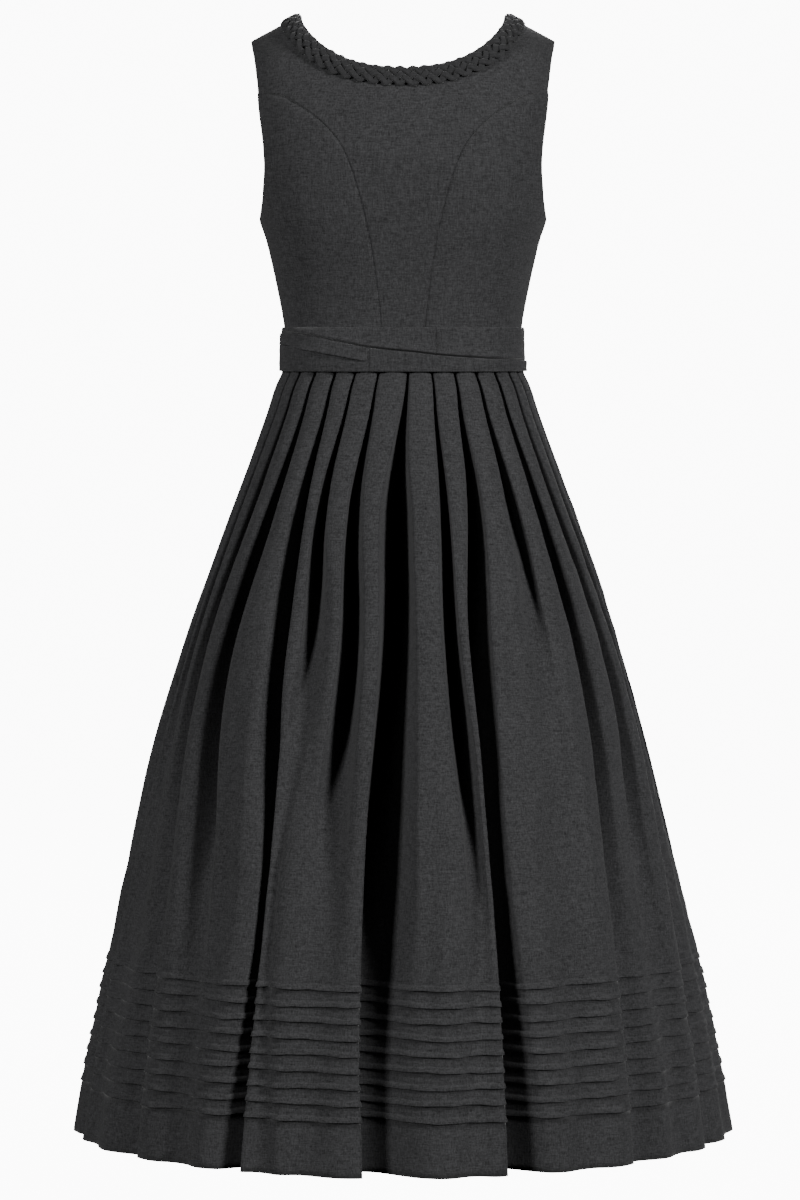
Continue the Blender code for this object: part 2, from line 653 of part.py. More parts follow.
def belt_band(name, start, stop, top_edge, offset, steps, collection):
    """A band between two turns; steps are (share of its height, extra distance) from the top."""
    columns = max(8, round(BELT_COLUMNS * abs(stop - start) / math.pi))
    turns = np.linspace(start, stop, columns + 1)
    inset_turn = SEAM_INSET / half_width(BELT_TOP_Z)
    turns[0], turns[-1] = turns[0] + inset_turn, turns[-1] - inset_turn

    def row(share, out):
        heights = [top_edge(turn) + share * (BELT_FOOT_Z - top_edge(turn)) for turn in turns]
        return list(turns), [belt_point(turn, height, out) for turn, height in zip(turns, heights)]

    outer = [row(share, offset + BELT_WALL + extra) for share, extra in steps]
    inner = [row(share, offset) for share in (0.0, 1.0)]
    return cloth_wall(name, outer, inner, "belt_linen", collection)


def over_edge(turn):
    """Height of the outer band's upper edge."""
    degrees = [row[0] for row in OVER_EDGE]
    return spline(degrees, [row[1] for row in OVER_EDGE], math.degrees(turn))


def build_belt(collection):
    """A full-height band with a narrower one crossing it, each in two lengths."""
    under_join = turn_at(UNDER_JOIN_X, BELT_TOP_Z)
    over_join = turn_at(OVER_JOIN_X, BELT_TOP_Z)
    flat = ((0.0, 0.0), (1.0, 0.0))
    rolled = ((0.0, -0.0006), (0.1, 0.0004), (1.0, 0.0))
    over = BELT_EASE + BELT_WALL + LAYER_GAP
    belt_band("belt_under_left", -math.pi, under_join, lambda turn: BELT_TOP_Z, BELT_EASE, flat, collection)
    belt_band("belt_under_right", under_join, math.pi, lambda turn: BELT_TOP_Z, BELT_EASE, flat, collection)
    belt_band("belt_over_left", -math.pi, over_join, over_edge, over, rolled, collection)
    belt_band("belt_over_right", over_join, math.pi, over_edge, over, rolled, collection)


# --- skirt -----------------------------------------------------------------------------
class Ring:
    """The skirt's smooth outline at one height, read by the distance round it."""

    readers = [column_reader(SKIRT_SECTIONS, column) for column in range(1, 5)]

    def __init__(self, height):
        self.height = height
        width, back, front, roundness = [read(height) for read in self.readers]
        self.turns = np.linspace(-math.pi, math.pi, RING_STEPS + 1)
        sines, cosines = np.sin(self.turns), np.cos(self.turns)
        power = 2.0 / roundness
        depth = np.where(cosines >= 0.0, back, front)
        self.x = width * np.sign(sines) * np.abs(sines) ** power
        self.y = -depth * np.sign(cosines) * np.abs(cosines) ** power
        self.x[0] = self.x[-1] = 0.0
        step = np.hypot(np.diff(self.x), np.diff(self.y))
        self.run = np.concatenate(([0.0], np.cumsum(step)))
        self.length = float(self.run[-1])

    def place(self, degrees):
        """Distance round the outline at an angle from the centre back."""
        return float(np.interp(math.radians(degrees), self.turns, self.run))

    def point(self, run, inward):
        """Point of the plan at a distance round, moved inward."""
        run = run % self.length if not 0.0 <= run <= self.length else run
        nudge = 0.002
        here = np.array([np.interp(run, self.run, axis) for axis in (self.x, self.y)])
        ahead = [np.interp((run + nudge) % self.length, self.run, axis) for axis in (self.x, self.y)]
        behind = [np.interp((run - nudge) % self.length, self.run, axis) for axis in (self.x, self.y)]
        tangent = unit(np.subtract(ahead, behind))
        return here + inward * np.array((-tangent[1], tangent[0]))


def pleat_form(share, crisp):
    """Depth of a pleat across its mouth (-1 to 1), as a share of its full depth."""
    bottom = PLEAT_BOTTOM * crisp
    side = -1.0 if share < bottom else 1.0
    out = abs(share - bottom) / (1.0 - side * bottom)
    hard = 1.0 - out ** HARD_CURVE
    soft = math.cos(math.pi / 2.0 * min(1.0, out)) ** 2
    crispness = 0.5 + 0.5 * crisp * side
    return crispness * hard + (1.0 - crispness) * soft


def pleat_at(pleat, height):
    """Angle, half mouth, depth and crisp side of a pleat at a height."""
    stations = PLEAT_STATIONS[::-1]
    angle = spline(stations, pleat[:5][::-1], height)
    mouth, depth, faded, left_over, crisp_top, crisp_hem = pleat[5:]
    opened = smooth((PLEAT_START - height) / PLEAT_OPENING)
    running_out = smooth((faded + PLEAT_FADING - height) / PLEAT_FADING)
    half_mouth = WAIST_PLEAT[0] + (mouth / 1000.0 - WAIST_PLEAT[0]) * opened
    half_mouth *= 1.0 + (HEM_SPREAD - 1.0) * running_out
    full = WAIST_PLEAT[1] + (depth / 1000.0 - WAIST_PLEAT[1]) * opened
    deep = full + (left_over / 1000.0 - full) * running_out
    crisp = crisp_top + (crisp_hem - crisp_top) * smooth((CRISP_SWAP_Z - height) / CRISP_SWAP_DROP)
    return angle, half_mouth, deep, crisp


def skirt_row(height, pleats, shares):
    """One ring of the skirt: each point of its plan, by its place in the order of the pleats."""
    ring = Ring(height)
    settled = [pleat_at(pleat, height) for pleat in pleats]
    centres = np.array([ring.place(angle) for angle, *_ in settled])
    to_next = np.diff(np.append(centres, centres[0] + ring.length))
    to_nearest = np.minimum(to_next, np.roll(to_next, 1))
    mouths = np.minimum([mouth for _, mouth, *_ in settled], WIDEST_MOUTH * to_nearest)
    widths = to_next - mouths - np.roll(mouths, -1)
    middles = centres + mouths + 0.5 * widths
    columns = []
    for index, (pleat, (_, _, deep, crisp)) in enumerate(zip(pleats, settled)):
        bottom, rank = PLEAT_BOTTOM * crisp, PLEATS.index(pleat)
        centre, mouth = centres[index], mouths[index]
        for side in shares:
            share = bottom + side * (1.0 - bottom * math.copysign(1.0, side)) if side else bottom
            form = pleat_form(share, crisp)
            lean = PLEAT_LEAN * crisp * form * min(1.0, deep / LEANING_DEPTH)
            place = rank + 0.5 + PLEAT_RANGE * side
            columns.append((place, ring.point(centre + mouth * (share + lean), deep * form)))
        crown = PANEL_CROWN * min(WIDEST_CROWN, widths[index])
        columns.append((rank + 1.0, ring.point(middles[index], -crown)))
    return ring, columns


def cut_at_seams(ring, columns):
    """Cut the ring at the centre front and the side seams: three open runs of columns."""
    seams = (-180, -90, 90, 180)
    runs = []
    for start, stop in zip(seams, seams[1:]):
        low, high = [sum(pleat[0] < seam for pleat in PLEATS) for seam in (start, stop)]
        inside = [column for column in columns if low < column[0] < high]
        ends = (ring.place(start) + SEAM_INSET, ring.place(stop) - SEAM_INSET)
        first, last = [ring.point(end, 0.0) for end in ends]
        normals = [ring.point(end, -1.0) - ring.point(end, 0.0) for end in ends]
        runs.append(([(low, first)] + inside + [(high, last)], normals))
    return runs


def offset_plan(run, end_normals, distance):
    """Move each plan point of an open run outward by a distance, square to the cloth."""
    points = np.array([point for _, point in run])
    normals = [unit(np.array((edge[1], -edge[0]))) for edge in np.diff(points, axis=0)]
    moved = [points[0] + end_normals[0] * distance]
    for point, before, after in zip(points[1:-1], normals, normals[1:]):
        middle = unit(before + after)
        moved.append(point + middle * distance / max(SHARPEST_MITRE, float(middle @ before)))
    return moved + [points[-1] + end_normals[1] * distance]


def as_row(run, points, height):
    """Plan points at a height, with the places they are stitched by."""
    return [place for place, _ in run], [(x, y, height) for x, y in points]


def tuck_profile():
    """Heights and stand-off of the outer wall through the tucks, from the top."""
    profile = [(FIRST_TUCK_Z + TUCK_RISE * TUCK_PITCH, 0.0)]
    for tuck in range(TUCKS):
        edge = FIRST_TUCK_Z - tuck * TUCK_PITCH
        profile += [(edge, TUCK_LIP), (edge - TUCK_UNDERCUT, 0.0)]
    return profile + [(HEM_Z, 0.0)]


def build_skirt(collection):
    """Pleated upper part and tucked lower part of each of the three skirt pieces."""
    walls = [([], []) for _ in range(3)]
    lower_pleats = [pleat for pleat in PLEATS if pleat[8] > 0]

    def add_row(height, pleats, shares, stand_offs):
        ring, columns = skirt_row(height, pleats, shares)
        for wall, (run, end_normals) in zip(walls, cut_at_seams(ring, columns)):
            for side, stand_off in stand_offs:
                points = offset_plan(run, end_normals, stand_off)
                wall[side].append(as_row(run, points, height))

    for height in PLEATED_HEIGHTS:
        add_row(height, PLEATS, FIVE_COLUMNS, ((0, 0.0), (1, -SKIRT_WALL)))
    for height, stand_off in tuck_profile():
        add_row(height, lower_pleats, THREE_COLUMNS, ((0, stand_off),))
    for height in PLAIN_HEIGHTS:
        add_row(height, lower_pleats, THREE_COLUMNS, ((1, -SKIRT_WALL),))
    for name, (outer, inner) in zip(("skirt_front_left", "skirt_back", "skirt_front_right"), walls):
        cloth_wall(name, outer, inner, "skirt_linen", collection)


def main():
    """Clear the scene and build the dress in its own collection."""
    for leftover in list(bpy.data.objects):
        bpy.data.objects.remove(leftover, do_unlink=True)
    collection = bpy.data.collections.new("dirndl")
    bpy.context.scene.collection.children.link(collection)
    build_bodice(collection)
    build_plait(collection)
    build_belt(collection)
    build_skirt(collection)


main()
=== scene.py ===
"""Looks of a sleeveless charcoal dirndl: sewn cloth, a neck plait, a two-band belt and pressed
pleats, in a plain pale studio. Every piece is a thin shell on the form of its solid.

Metres, +Z up; the back faces -Y, +X is the wearer's right, the origin between the shoulders.
"""

from functools import partial
import math

import bpy
import numpy as np
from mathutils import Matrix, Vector


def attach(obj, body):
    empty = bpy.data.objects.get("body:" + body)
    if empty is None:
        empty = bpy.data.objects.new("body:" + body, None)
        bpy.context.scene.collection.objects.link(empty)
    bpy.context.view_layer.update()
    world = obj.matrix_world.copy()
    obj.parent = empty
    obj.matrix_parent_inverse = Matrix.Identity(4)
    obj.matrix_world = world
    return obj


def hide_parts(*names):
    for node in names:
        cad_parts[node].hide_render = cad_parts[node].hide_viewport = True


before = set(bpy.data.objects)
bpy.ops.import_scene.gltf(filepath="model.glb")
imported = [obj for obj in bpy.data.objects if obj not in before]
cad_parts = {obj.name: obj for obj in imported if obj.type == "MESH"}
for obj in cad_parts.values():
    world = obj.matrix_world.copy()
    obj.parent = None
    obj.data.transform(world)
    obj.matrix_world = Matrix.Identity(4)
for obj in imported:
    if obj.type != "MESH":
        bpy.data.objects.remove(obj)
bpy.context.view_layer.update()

# --- walls and seams ---
BODICE_WALL = 0.0018
SKIRT_WALL = 0.0016
BELT_WALL = 0.0016
SEAM_OVERLAP = 0.0004  # reach of each piece past its seam line
SEAM_DITCH = (0.0011, 0.0012)  # depth and width of the dip along a seam
SEAM_SINK = 0.0009  # the skirt's edges are drawn in at its seams
SEAM_PUCKER = (0.00022, 0.01)  # height and reach of the puckers beside a seam
PUCKER_PITCH = 0.013
BELT_EASE = 0.0009  # between the bodice and the belt
LAYER_GAP = 0.0004  # between the two bands of the belt

# --- heights ---
APEX_Z = -0.005  # neck end of the shoulder seam
BELT_TOP_Z = -0.346
WAIST_SEAM_Z = -0.38
BELT_FOOT_Z = -0.394
HEM_Z = -1.233
UNDERARM_Z = -0.23

# --- shoulders and neck ---
APEX_X = 0.112
SHOULDER_SLOPE = 0.53
SHOULDER_ROUND = 0.045  # radius of the cloth over the shoulder
NECK_DROPS = {False: 0.061, True: 0.128}  # at the back, at the front
NECK_SQUARENESS = 2.4
NECK_FLATNESS = 0.667

# Sections of the bodice: height, half width, depth of the back, depth of the front
BODY_SECTIONS = (
    (0, 0.166, 0.045, 0.046), (-0.03, 0.1665, 0.062, 0.066),
    (-0.066, 0.168, 0.081, 0.087), (-0.1, 0.1695, 0.096, 0.105),
    (-0.14, 0.1675, 0.105, 0.118), (-0.17, 0.1655, 0.108, 0.123),
    (-0.2, 0.162, 0.107, 0.126), (-0.23, 0.157, 0.105, 0.126),
    (-0.25, 0.1505, 0.102, 0.123), (-0.272, 0.145, 0.098, 0.117),
    (-0.294, 0.14, 0.094, 0.111), (-0.316, 0.1355, 0.091, 0.106),
    (-0.34, 0.1312, 0.088, 0.102), (-0.38, 0.1285, 0.086, 0.099),
)
BODY_ROUNDNESS = 2.3  # exponent of the bodice's superellipse
BUST_FULLNESS = 0.011
BUST_TURN = math.radians(36)
BUST_Z = -0.205
BUST_SPREAD = (math.radians(20), 0.045)

# Seams: degrees round from the centre back or front, height
BACK_PRINCESS = (
    (7.7, -0.38), (8.1, -0.346), (10, -0.282), (11.3, -0.249), (12.9, -0.219), (15.4, -0.189),
    (17.8, -0.167), (21.6, -0.1455), (27.8, -0.1265), (35.8, -0.111), (46.7, -0.097), (57, -0.0925),
    (67.8, -0.0885),
)
FRONT_PRINCESS = (
    (22, -0.38), (22.9, -0.352), (24.4, -0.328), (29, -0.28), (34, -0.235), (38.5, -0.2),
    (45, -0.165), (54, -0.138), (66.5, -0.118),
)
BACK_ARMHOLE = (
    (90, -0.0336), (76, -0.052), (67.8, -0.0885), (64, -0.12), (63, -0.145), (64.5, -0.172),
    (69, -0.2), (78, -0.222), (90, -0.23),
)
FRONT_ARMHOLE = (
    (90, -0.0336), (77, -0.052), (69.5, -0.084), (66.5, -0.118), (64.5, -0.145), (65.5, -0.172),
    (70, -0.2), (79, -0.222), (90, -0.23),
)
SEAMS = {False: (BACK_PRINCESS, BACK_ARMHOLE), True: (FRONT_PRINCESS, FRONT_ARMHOLE)}
NECK_COLUMNS, SHOULDER_COLUMNS, SIDE_COLUMNS, ARMHOLE_ROWS = 8, 3, 6, 3
CURVE_STEPS = 80
YOKE_DROP = 0.02  # a panel's rows are level up to this far below the neck
NECK_FADING = 2  # how fast the rows below the neck lose its bend
EVENING_ROUNDS = 16  # rounds that even out the cells of a yoke
FINER = 6  # shell cells along each cell of a panel's first grid
EDGE_CROWDING = 0.55  # how much closer the columns lie beside the seams
# Soft creases in mm: x and z of both ends, half width and depth; then back -1, front 1
BODICE_CREASES = (
    (150, -236, 112, -262, 7, 1.3, -1), (147, -252, 118, -285, 6, 0.9, -1),
    (-151, -238, -116, -256, 7, 1.1, -1), (-146, -258, -110, -292, 8, 1, -1),
    (60, -318, 112, -330, 6, 0.7, -1), (-52, -322, -108, -312, 7, 0.8, -1),
    (30, -300, -34, -306, 9, 0.7, -1), (136, -110, 100, -70, 8, 0.8, -1),
    (-140, -118, -104, -76, 7, 0.7, -1), (148, -232, 108, -222, 8, 1.4, 1),
    (-148, -235, -104, -228, 7, 1.2, 1), (20, -300, 70, -316, 8, 0.9, 1),
    (-16, -312, -74, -300, 7, 0.8, 1), (110, -300, 66, -270, 8, 0.9, 1),
    (-112, -308, -70, -276, 8, 0.8, 1),
)
# Factors that mirror a (turn, distance) grid onto the other side
MIRROR = (-1, 1)

# --- neck trim ---
PLAIT_WIDTH = 0.0245
PLAIT_PITCH = 0.0128  # length of one stroke of the plait
PLAIT_LIFT = 0.0031  # middle of the plait above the bodice
CORD_WIDTH, CORD_THICKNESS = 0.0064, 0.0038
CORD_RISE = 0.0018  # how far a cord rises over, or dips under, another
CORD_GROOVE = 0.28  # how far each cord is pressed in along its middle
TURN_BULGE, TURN_DIP = 0.45, 0.7  # how far a cord swings out and dips where it turns
SHOULDER_CALM = (0.35, 0.025)  # how much flatter the plait is over the shoulder, and its reach
PLAIT_END_GAP = 0.0002  # between the centre front and each end
CORDS = 4
CORD_STEPS, CORD_SIDES = 7, 16  # rings of a cord in each half stroke, points of a ring
# Waves along a cord: height, wavelength, seed and what the next cord adds to it
CORD_WANDER = ((0.1, 0.033, 2, 1), (0.08, 0.012, 6, 1))
CORD_SWELL = ((0.07, 0.021, 1, 1), (0.05, 0.007, 4, 1))

# --- belt ---
UNDER_JOIN_X = 0.035
OVER_JOIN_X = -0.036
BELT_FLARE = 0.0012
# Upper edge of the outer band: degrees round from the centre back, height
OVER_EDGE = (
    (-180, -0.366), (-140, -0.355), (-90, -0.3525), (-62, -0.353), (-43, -0.356), (-30, -0.361),
    (-16, -0.367), (-2, -0.3715), (14, -0.3765), (33, -0.3795), (60, -0.3815), (90, -0.3825),
    (140, -0.379), (180, -0.366),
)
# Fold pressed into the outer band's left back, in the same way
OVER_FOLD = (
    (-86, -0.3648), (-70, -0.3652), (-62, -0.366), (-56, -0.3685), (-40, -0.373), (-28, -0.377),
    (-15, -0.3822),
)
BAND_COLUMNS = 220  # over half the waist
# Rows across a band as shares of its height, closer at the rolled edges
BAND_ROWS = (0, 0.012, 0.035, 0.07, *np.linspace(0.09, 0.91, 66), 0.93, 0.965, 0.988, 1)
BAND_INSIDE_ROWS = 5
EDGE_ROLL, EDGE_THINNING = 0.05, 0.45  # share of the height that rolls over
BAND_FULLNESS = 0.0002
JOIN_DIP = (0.0013, 0.0014)  # depth and width of the dip at each end of a band

# --- skirt ---
# Outline of the skirt: height, half width, depth of the back, depth of the front, roundness
SKIRT_SECTIONS = (
    (-0.38, 0.1286, 0.0862, 0.0992, 2.3), (-0.394, 0.13, 0.0876, 0.1004, 2.3),
    (-0.408, 0.1365, 0.093, 0.106, 2.3), (-0.437, 0.146, 0.104, 0.116, 2.25),
    (-0.503, 0.17, 0.13, 0.139, 2.2), (-0.57, 0.195, 0.153, 0.16, 2.1),
    (-0.64, 0.22, 0.176, 0.181, 2), (-0.77, 0.259, 0.212, 0.215, 1.95),
    (-0.9, 0.292, 0.243, 0.244, 1.9), (-1.03, 0.322, 0.269, 0.269, 1.9),
    (-1.15, 0.3465, 0.288, 0.287, 1.9), (-1.233, 0.361, 0.3, 0.297, 1.9),
)
PLEAT_STATIONS = (-0.394, -0.511, -0.69, -0.905, -1.233)
WAIST_PLEAT = (0.0018, 0.0045)  # half mouth and depth of each pleat where it is sewn down
PLEAT_START = PLEAT_STATIONS[0] + 0.012
PLEAT_OPENING = 0.26  # height over which a pleat opens
PLEAT_FADING = 0.36  # height over which its depth runs out
PLEAT_SPREADING = 0.5  # height over which its mouth spreads
HEM_SPREAD = 2.1  # how many times wider the mouth is then
LEAST_LEFT = 0.003  # depth that is left of every pleat
PLEAT_LEAN = 0.8  # how far a pleat's bottom leans under its crisp edge
LEANING_DEPTH = 0.03  # shallower pleats lean less
PLEAT_BOTTOM = 0.45  # place of the bottom, from the middle to the crisp edge
CRISP_SWAP_Z, CRISP_SWAP_DROP = -0.55, 0.35
HARD_CURVE = 1.5  # bend of a pleat's crisp side
STEEPNESS = 0.8  # below 1 its sides stand steeper
PANEL_CROWN = 0.11  # rise of the cloth between two pleats, by its width
WIDEST_CROWN = 0.05
WIDEST_MOUTH = 0.4  # as a share of the way to the nearest pleat
# Each pleat: degrees from the centre back at the five stations, half mouth and depth (mm),
# height at which it has run out, depth left at the hem (mm), and its crisp edge at the waist
# and at the hem (-1 left, 1 right, 0 both)
PLEATS = (
    (-167, -164, -163, -164, -166, 8, 36, -0.94, 6, -1, 0),
    (-154, -150, -149, -151, -153, 10, 50, -1.12, 13, -1, 1),
    (-142, -138, -136, -138, -141, 8, 32, -0.84, 0, -1, 0),
    (-130, -127, -124, -127, -131, 9, 44, -1.02, 8, -1, 1),
    (-118, -116, -113, -116, -119, 7, 28, -0.88, 0, -1, 0),
    (-106, -104, -103, -105, -108, 9, 40, -1.08, 12, -1, 1),
    (-95, -96, -97, -97, -98, 8, 30, -0.9, 0, -1, 0),
    (-81, -84, -84, -83, -80, 8, 34, -1.05, 10, -1, 1),
    (-69, -73, -76, -73, -70, 7, 28, -0.96, 0, -1, 0),
    (-57, -61, -67, -61, -56, 8, 36, -1.06, 9, -1, 1),
    (-44, -48, -54, -48, -43, 10, 46, -1.12, 5, -1, 0),
    (-31, -35, -35, -31, -32, 11, 54, -1.18, 32, -1, 1),
    (-20, -26, -25, -28, -26, 8.5, 36, -0.93, 0, -1, 0),
    (-9, -14, -14, -17, -18, 12, 46, -1.06, 4, -1, 0),
    (1.5, -1.5, -1.5, -2.5, -1.5, 25, 80, -1.2, 38, 0, -1),
    (11, 12, 13, 16, 13, 8.5, 40, -1.08, 5, 1, 0),
    (22, 23, 21, 21.5, 23, 13.5, 62, -1.2, 46, 1, -1),
    (34, 38, 38, 36, 34, 8, 30, -0.84, 0, 1, 0),
    (47, 51, 54, 51, 47, 8.5, 46, -1.14, 8, 1, -1),
    (60, 63, 68, 62, 57, 8, 38, -1.08, 4, 1, 0),
    (72, 75, 78, 74, 69, 8, 30, -1, 9, 1, -1),
    (83, 84, 84, 83, 81, 7, 26, -0.88, 0, 1, 0),
    (95, 97, 98, 98, 99, 9, 38, -1.06, 10, 1, -1),
    (105, 103, 101, 104, 108, 7, 28, -0.86, 0, 1, 0),
    (117, 114, 112, 114, 118, 9, 42, -1.04, 11, 1, -1),
    (129, 126, 124, 126, 130, 8, 30, -0.82, 0, 1, 0),
    (141, 138, 137, 140, 143, 10, 48, -1.1, 14, 1, -1),
    (153, 150, 148, 150, 154, 7, 30, -0.9, 0, 1, 0),
    (166, 163, 161, 162, 165, 9, 40, -1, 9, 1, -1),
)
MOUTH_STEPS, PANEL_STEPS = 16, 8  # columns across each pleat and between two pleats
UPPER_ROWS = 48  # rings above the tucks
ROW_CROWDING = 1.15  # above 1 they are closer near the waist
TUCKS = 9
FIRST_TUCK_Z = -1.041
TUCK_PITCH = 0.0169
PLEAT_TOP_Z = -0.3803
TUCKS_TOP_Z = FIRST_TUCK_Z + 0.75 * TUCK_PITCH
# Section of a tuck: height above its lip in pitches, stand-off in mm
TUCK_SECTION = (
    (0.66, 0), (0.42, 0), (0.36, -0.25), (0.31, 0.75), (0.18, 1.25), (0.03, 1.55), (0, 1.45),
    (0.015, -0.5),
)
# Waves along a tuck, in the same way
TUCK_SWAY = ((0.0012, 0.19, 1, 2.3), (0.0006, 0.041, 7, 1))
TUCK_UNEVENNESS = ((0.22, 0.06, 3, 1.7),)
BELOW_TUCKS = 0.05  # in pitches
HEM_ROWS = 8
RING_STEPS = 1440
SKIRT_SEAMS = (-180, -90, 90, 180)
SKIRT_PIECES = ("skirt_front_left", "skirt_back", "skirt_front_right")
FOLD_STRENGTH = 2.2
# Soft folds: degrees at top and foot, heights of both ends, half width and height (mm)
SOFT_FOLDS = (
    (-21, -24, -0.56, -0.92, 13, -2.6), (-8, -10, -0.7, -1.02, 15, 2.4),
    (7, 5, -0.78, -1.2, 12, -3.2), (17, 18, -0.6, -0.96, 10, 2),
    (30, 28, -0.52, -0.9, 12, -2.2), (44, 42, -0.6, -1.05, 14, 2.4),
    (61, 52, -0.74, -1.18, 16, -3), (76, 66, -0.64, -1.1, 14, 2.2),
    (90, 90, -0.6, -1.05, 16, -2.4), (108, 112, -0.7, -1.15, 15, 2.6),
    (123, 122, -0.6, -0.98, 13, -2.4), (146, 147, -0.72, -1.2, 14, -2.8),
    (160, 158, -0.58, -0.95, 12, 2.2), (-38, -37, -0.58, -0.98, 12, 2.4),
    (-43, -38, -0.72, -1.14, 13, -3), (-60, -52, -0.66, -1.05, 14, 2.2),
    (-73, -63, -0.76, -1.18, 15, -3.2), (-90, -90, -0.62, -1, 16, 2.4),
    (-111, -112, -0.7, -1.12, 14, -2.8), (-133, -135, -0.62, -1.04, 14, 2.4),
    (-147, -144, -0.74, -1.16, 13, -3), (-171, -172, -0.6, -1, 14, 2.2),
)

# --- studio ---
IMAGE_WIDTH = 800
CAMERA_Y = -4.9
EYE_Z = -0.349
METRES_PER_PIXEL = 0.0011  # at the plane through the origin
PICTURE_X = -0.0033
PICTURE_Z = -0.646  # height at y = 0 of the picture's middle
SENSOR_WIDTH = 36
FLOOR_Z = -1.42
STUDIO_RADIUS, STUDIO_SIDES = 25, 96
STUDIO_WHITE = (0.9, 0.9, 0.9, 1)
STUDIO_GLOW = 12
# Lights: name, place, size, power
LIGHTS = (
    ("key", (3.5, -2.9, 1), 1.1, 175),
    ("fill", (-3.5, -2.9, 0.9), 1.1, 118),
    ("behind", (0.6, 3.6, 1.8), 2, 100),
)
LIGHT_TARGET = (0, 0, -0.6)

# --- cloth ---
# Scales and detail of the noises: slubs upright and level, single fibres and broad clouds
NOISES = (((780, 780, 110), 2), ((120, 120, 780), 2), ((560, 560, 560), 3), ((14, 14, 10), 2))
WEAVE_CONTRAST, CLOUD_CONTRAST = 4.2, 0.22
DARKEST_TONE = 0.25  # as a share of the cloth's colour
THREAD_BUMP, THREAD_HEIGHT = 0.5, 0.0005
LINEN_ROUGHNESS, CORD_ROUGHNESS = 0.85, 0.75
CORD_WEAVE = 0.6  # the cords' weave is calmer than the linen's
BODICE_COLOUR = SKIRT_COLOUR = (0.048, 0.048, 0.05)
BELT_COLOUR = (0.047, 0.047, 0.049)
CORD_COLOUR = (0.034, 0.034, 0.0355)


# --- small helpers ---
def smooth(share):
    """Ease from 0 to 1."""
    share = np.clip(share, 0, 1)
    return share * share * (3 - 2 * share)


def spline(stations, values, at):
    """Smooth curve through the values at rising stations."""
    stations, values, at = [np.asarray(row, float) for row in (stations, values, at)]
    slopes = np.gradient(values, stations)
    cell = np.clip(np.searchsorted(stations, at) - 1, 0, len(stations) - 2)
    span = stations[cell + 1] - stations[cell]
    share = np.clip((at - stations[cell]) / span, 0, 1)
    rise = values[cell + 1] - values[cell]
    start = share * (1 - share) ** 2 * slopes[cell] * span
    end = -share * share * (1 - share) * slopes[cell + 1] * span
    return values[cell] + rise * smooth(share) + start + end


def section_readers(table):
    """Each column of a section table as a function of height."""
    heights, *columns = zip(*sorted(table))
    return [partial(spline, heights, column) for column in columns]


def unit(vectors):
    """Vectors of length 1."""
    return vectors / np.maximum(1e-12, np.linalg.norm(vectors, axis=-1, keepdims=True))


def points_at(*axes):
    """Points from their coordinates."""
    return np.stack(axes, axis=-1)


def run_along(points):
    """Distance from the first point to each point."""
    steps = np.linalg.norm(np.diff(points, axis=0), axis=-1)
    return np.concatenate((np.zeros_like(steps[:1]), np.cumsum(steps, axis=0)))


def resample(points, count):
    """Even steps along a smooth curve through the given points."""
    points = np.asarray(points, float)
    run = run_along(points)
    steps = np.linspace(0, run[-1], count + 1)
    return np.stack([spline(run, axis, steps) for axis in points.T], axis=-1)


def read_line(at, run, points):
    """Points of a line at distances along it."""
    return np.stack([np.interp(at, run, axis) for axis in points.T], axis=-1)


def ripple(places, wavelength, seed):
    """Uneven waves between about -1 and 1."""
    angle = 2 * math.pi * places / wavelength
    return (0.5 * np.sin(angle + seed) + 0.3 * np.sin(1.73 * angle + 2.1 * seed)
            + 0.2 * np.sin(0.41 * angle + 3.7 * seed))


def waves(places, table, number):
    """Sum of the table's ripples for the piece of that number."""
    return sum(height * ripple(places, wavelength, seed + step * number)
               for height, wavelength, seed, step in table)


# --- the bodice's surface ---
half_width, back_depth, front_depth = section_readers(BODY_SECTIONS)
BODY_POWER = 2 / BODY_ROUNDNESS


def signed_power(values, power):
    """The values to a power, with their signs kept."""
    return np.sign(values) * np.abs(values) ** power


def shoulder_height(x):
    """Height of the shoulder line at a distance from the centre."""
    return APEX_Z - SHOULDER_SLOPE * (np.abs(x) - APEX_X)


def turn_at(x, height):
    """Turn from the centre at which the bodice is x wide at a height."""
    share = np.minimum(1, np.abs(x) / half_width(height))
    return np.copysign(np.arcsin(share ** (1 / BODY_POWER)), x)


def depth_below_shoulder(turn, height):
    """Distance down the cloth from the shoulder to a height."""
    drop = shoulder_height(half_width(height) * signed_power(np.sin(turn), BODY_POWER)) - height
    rounded = SHOULDER_ROUND * np.arccos(np.clip(1 - drop / SHOULDER_ROUND, -1, 1))
    return np.where(drop >= SHOULDER_ROUND, SHOULDER_ROUND * (math.pi / 2 - 1) + drop, rounded)


def bust(turn, height):
    """How far the cups stand out from the plain front."""
    across = (math.pi - np.abs(turn) - BUST_TURN) / BUST_SPREAD[0]
    upward = (height - BUST_Z) / BUST_SPREAD[1]
    return BUST_FULLNESS * np.exp(-across * across - upward * upward)


def body(turn, down):
    """Points of the bodice at turns from the centre back and distances down the cloth."""
    turn, down = np.broadcast_arrays(np.asarray(turn, float), np.asarray(down, float))
    arc = SHOULDER_ROUND * math.pi / 2
    angle = np.minimum(down, arc) / SHOULDER_ROUND
    drop = np.where(down >= arc, down - arc + SHOULDER_ROUND, SHOULDER_ROUND * (1 - np.cos(angle)))
    side = signed_power(np.sin(turn), BODY_POWER)
    first_guess, rounds = 0.15, 6
    x = first_guess * side
    for _ in range(rounds):
        z = shoulder_height(x) - drop
        x = half_width(z) * side
    deep = np.abs(np.cos(turn)) ** BODY_POWER * np.sin(angle)
    depth = np.where(np.abs(turn) <= math.pi / 2, -back_depth(z), front_depth(z) + bust(turn, z))
    return points_at(x, depth * deep, z)


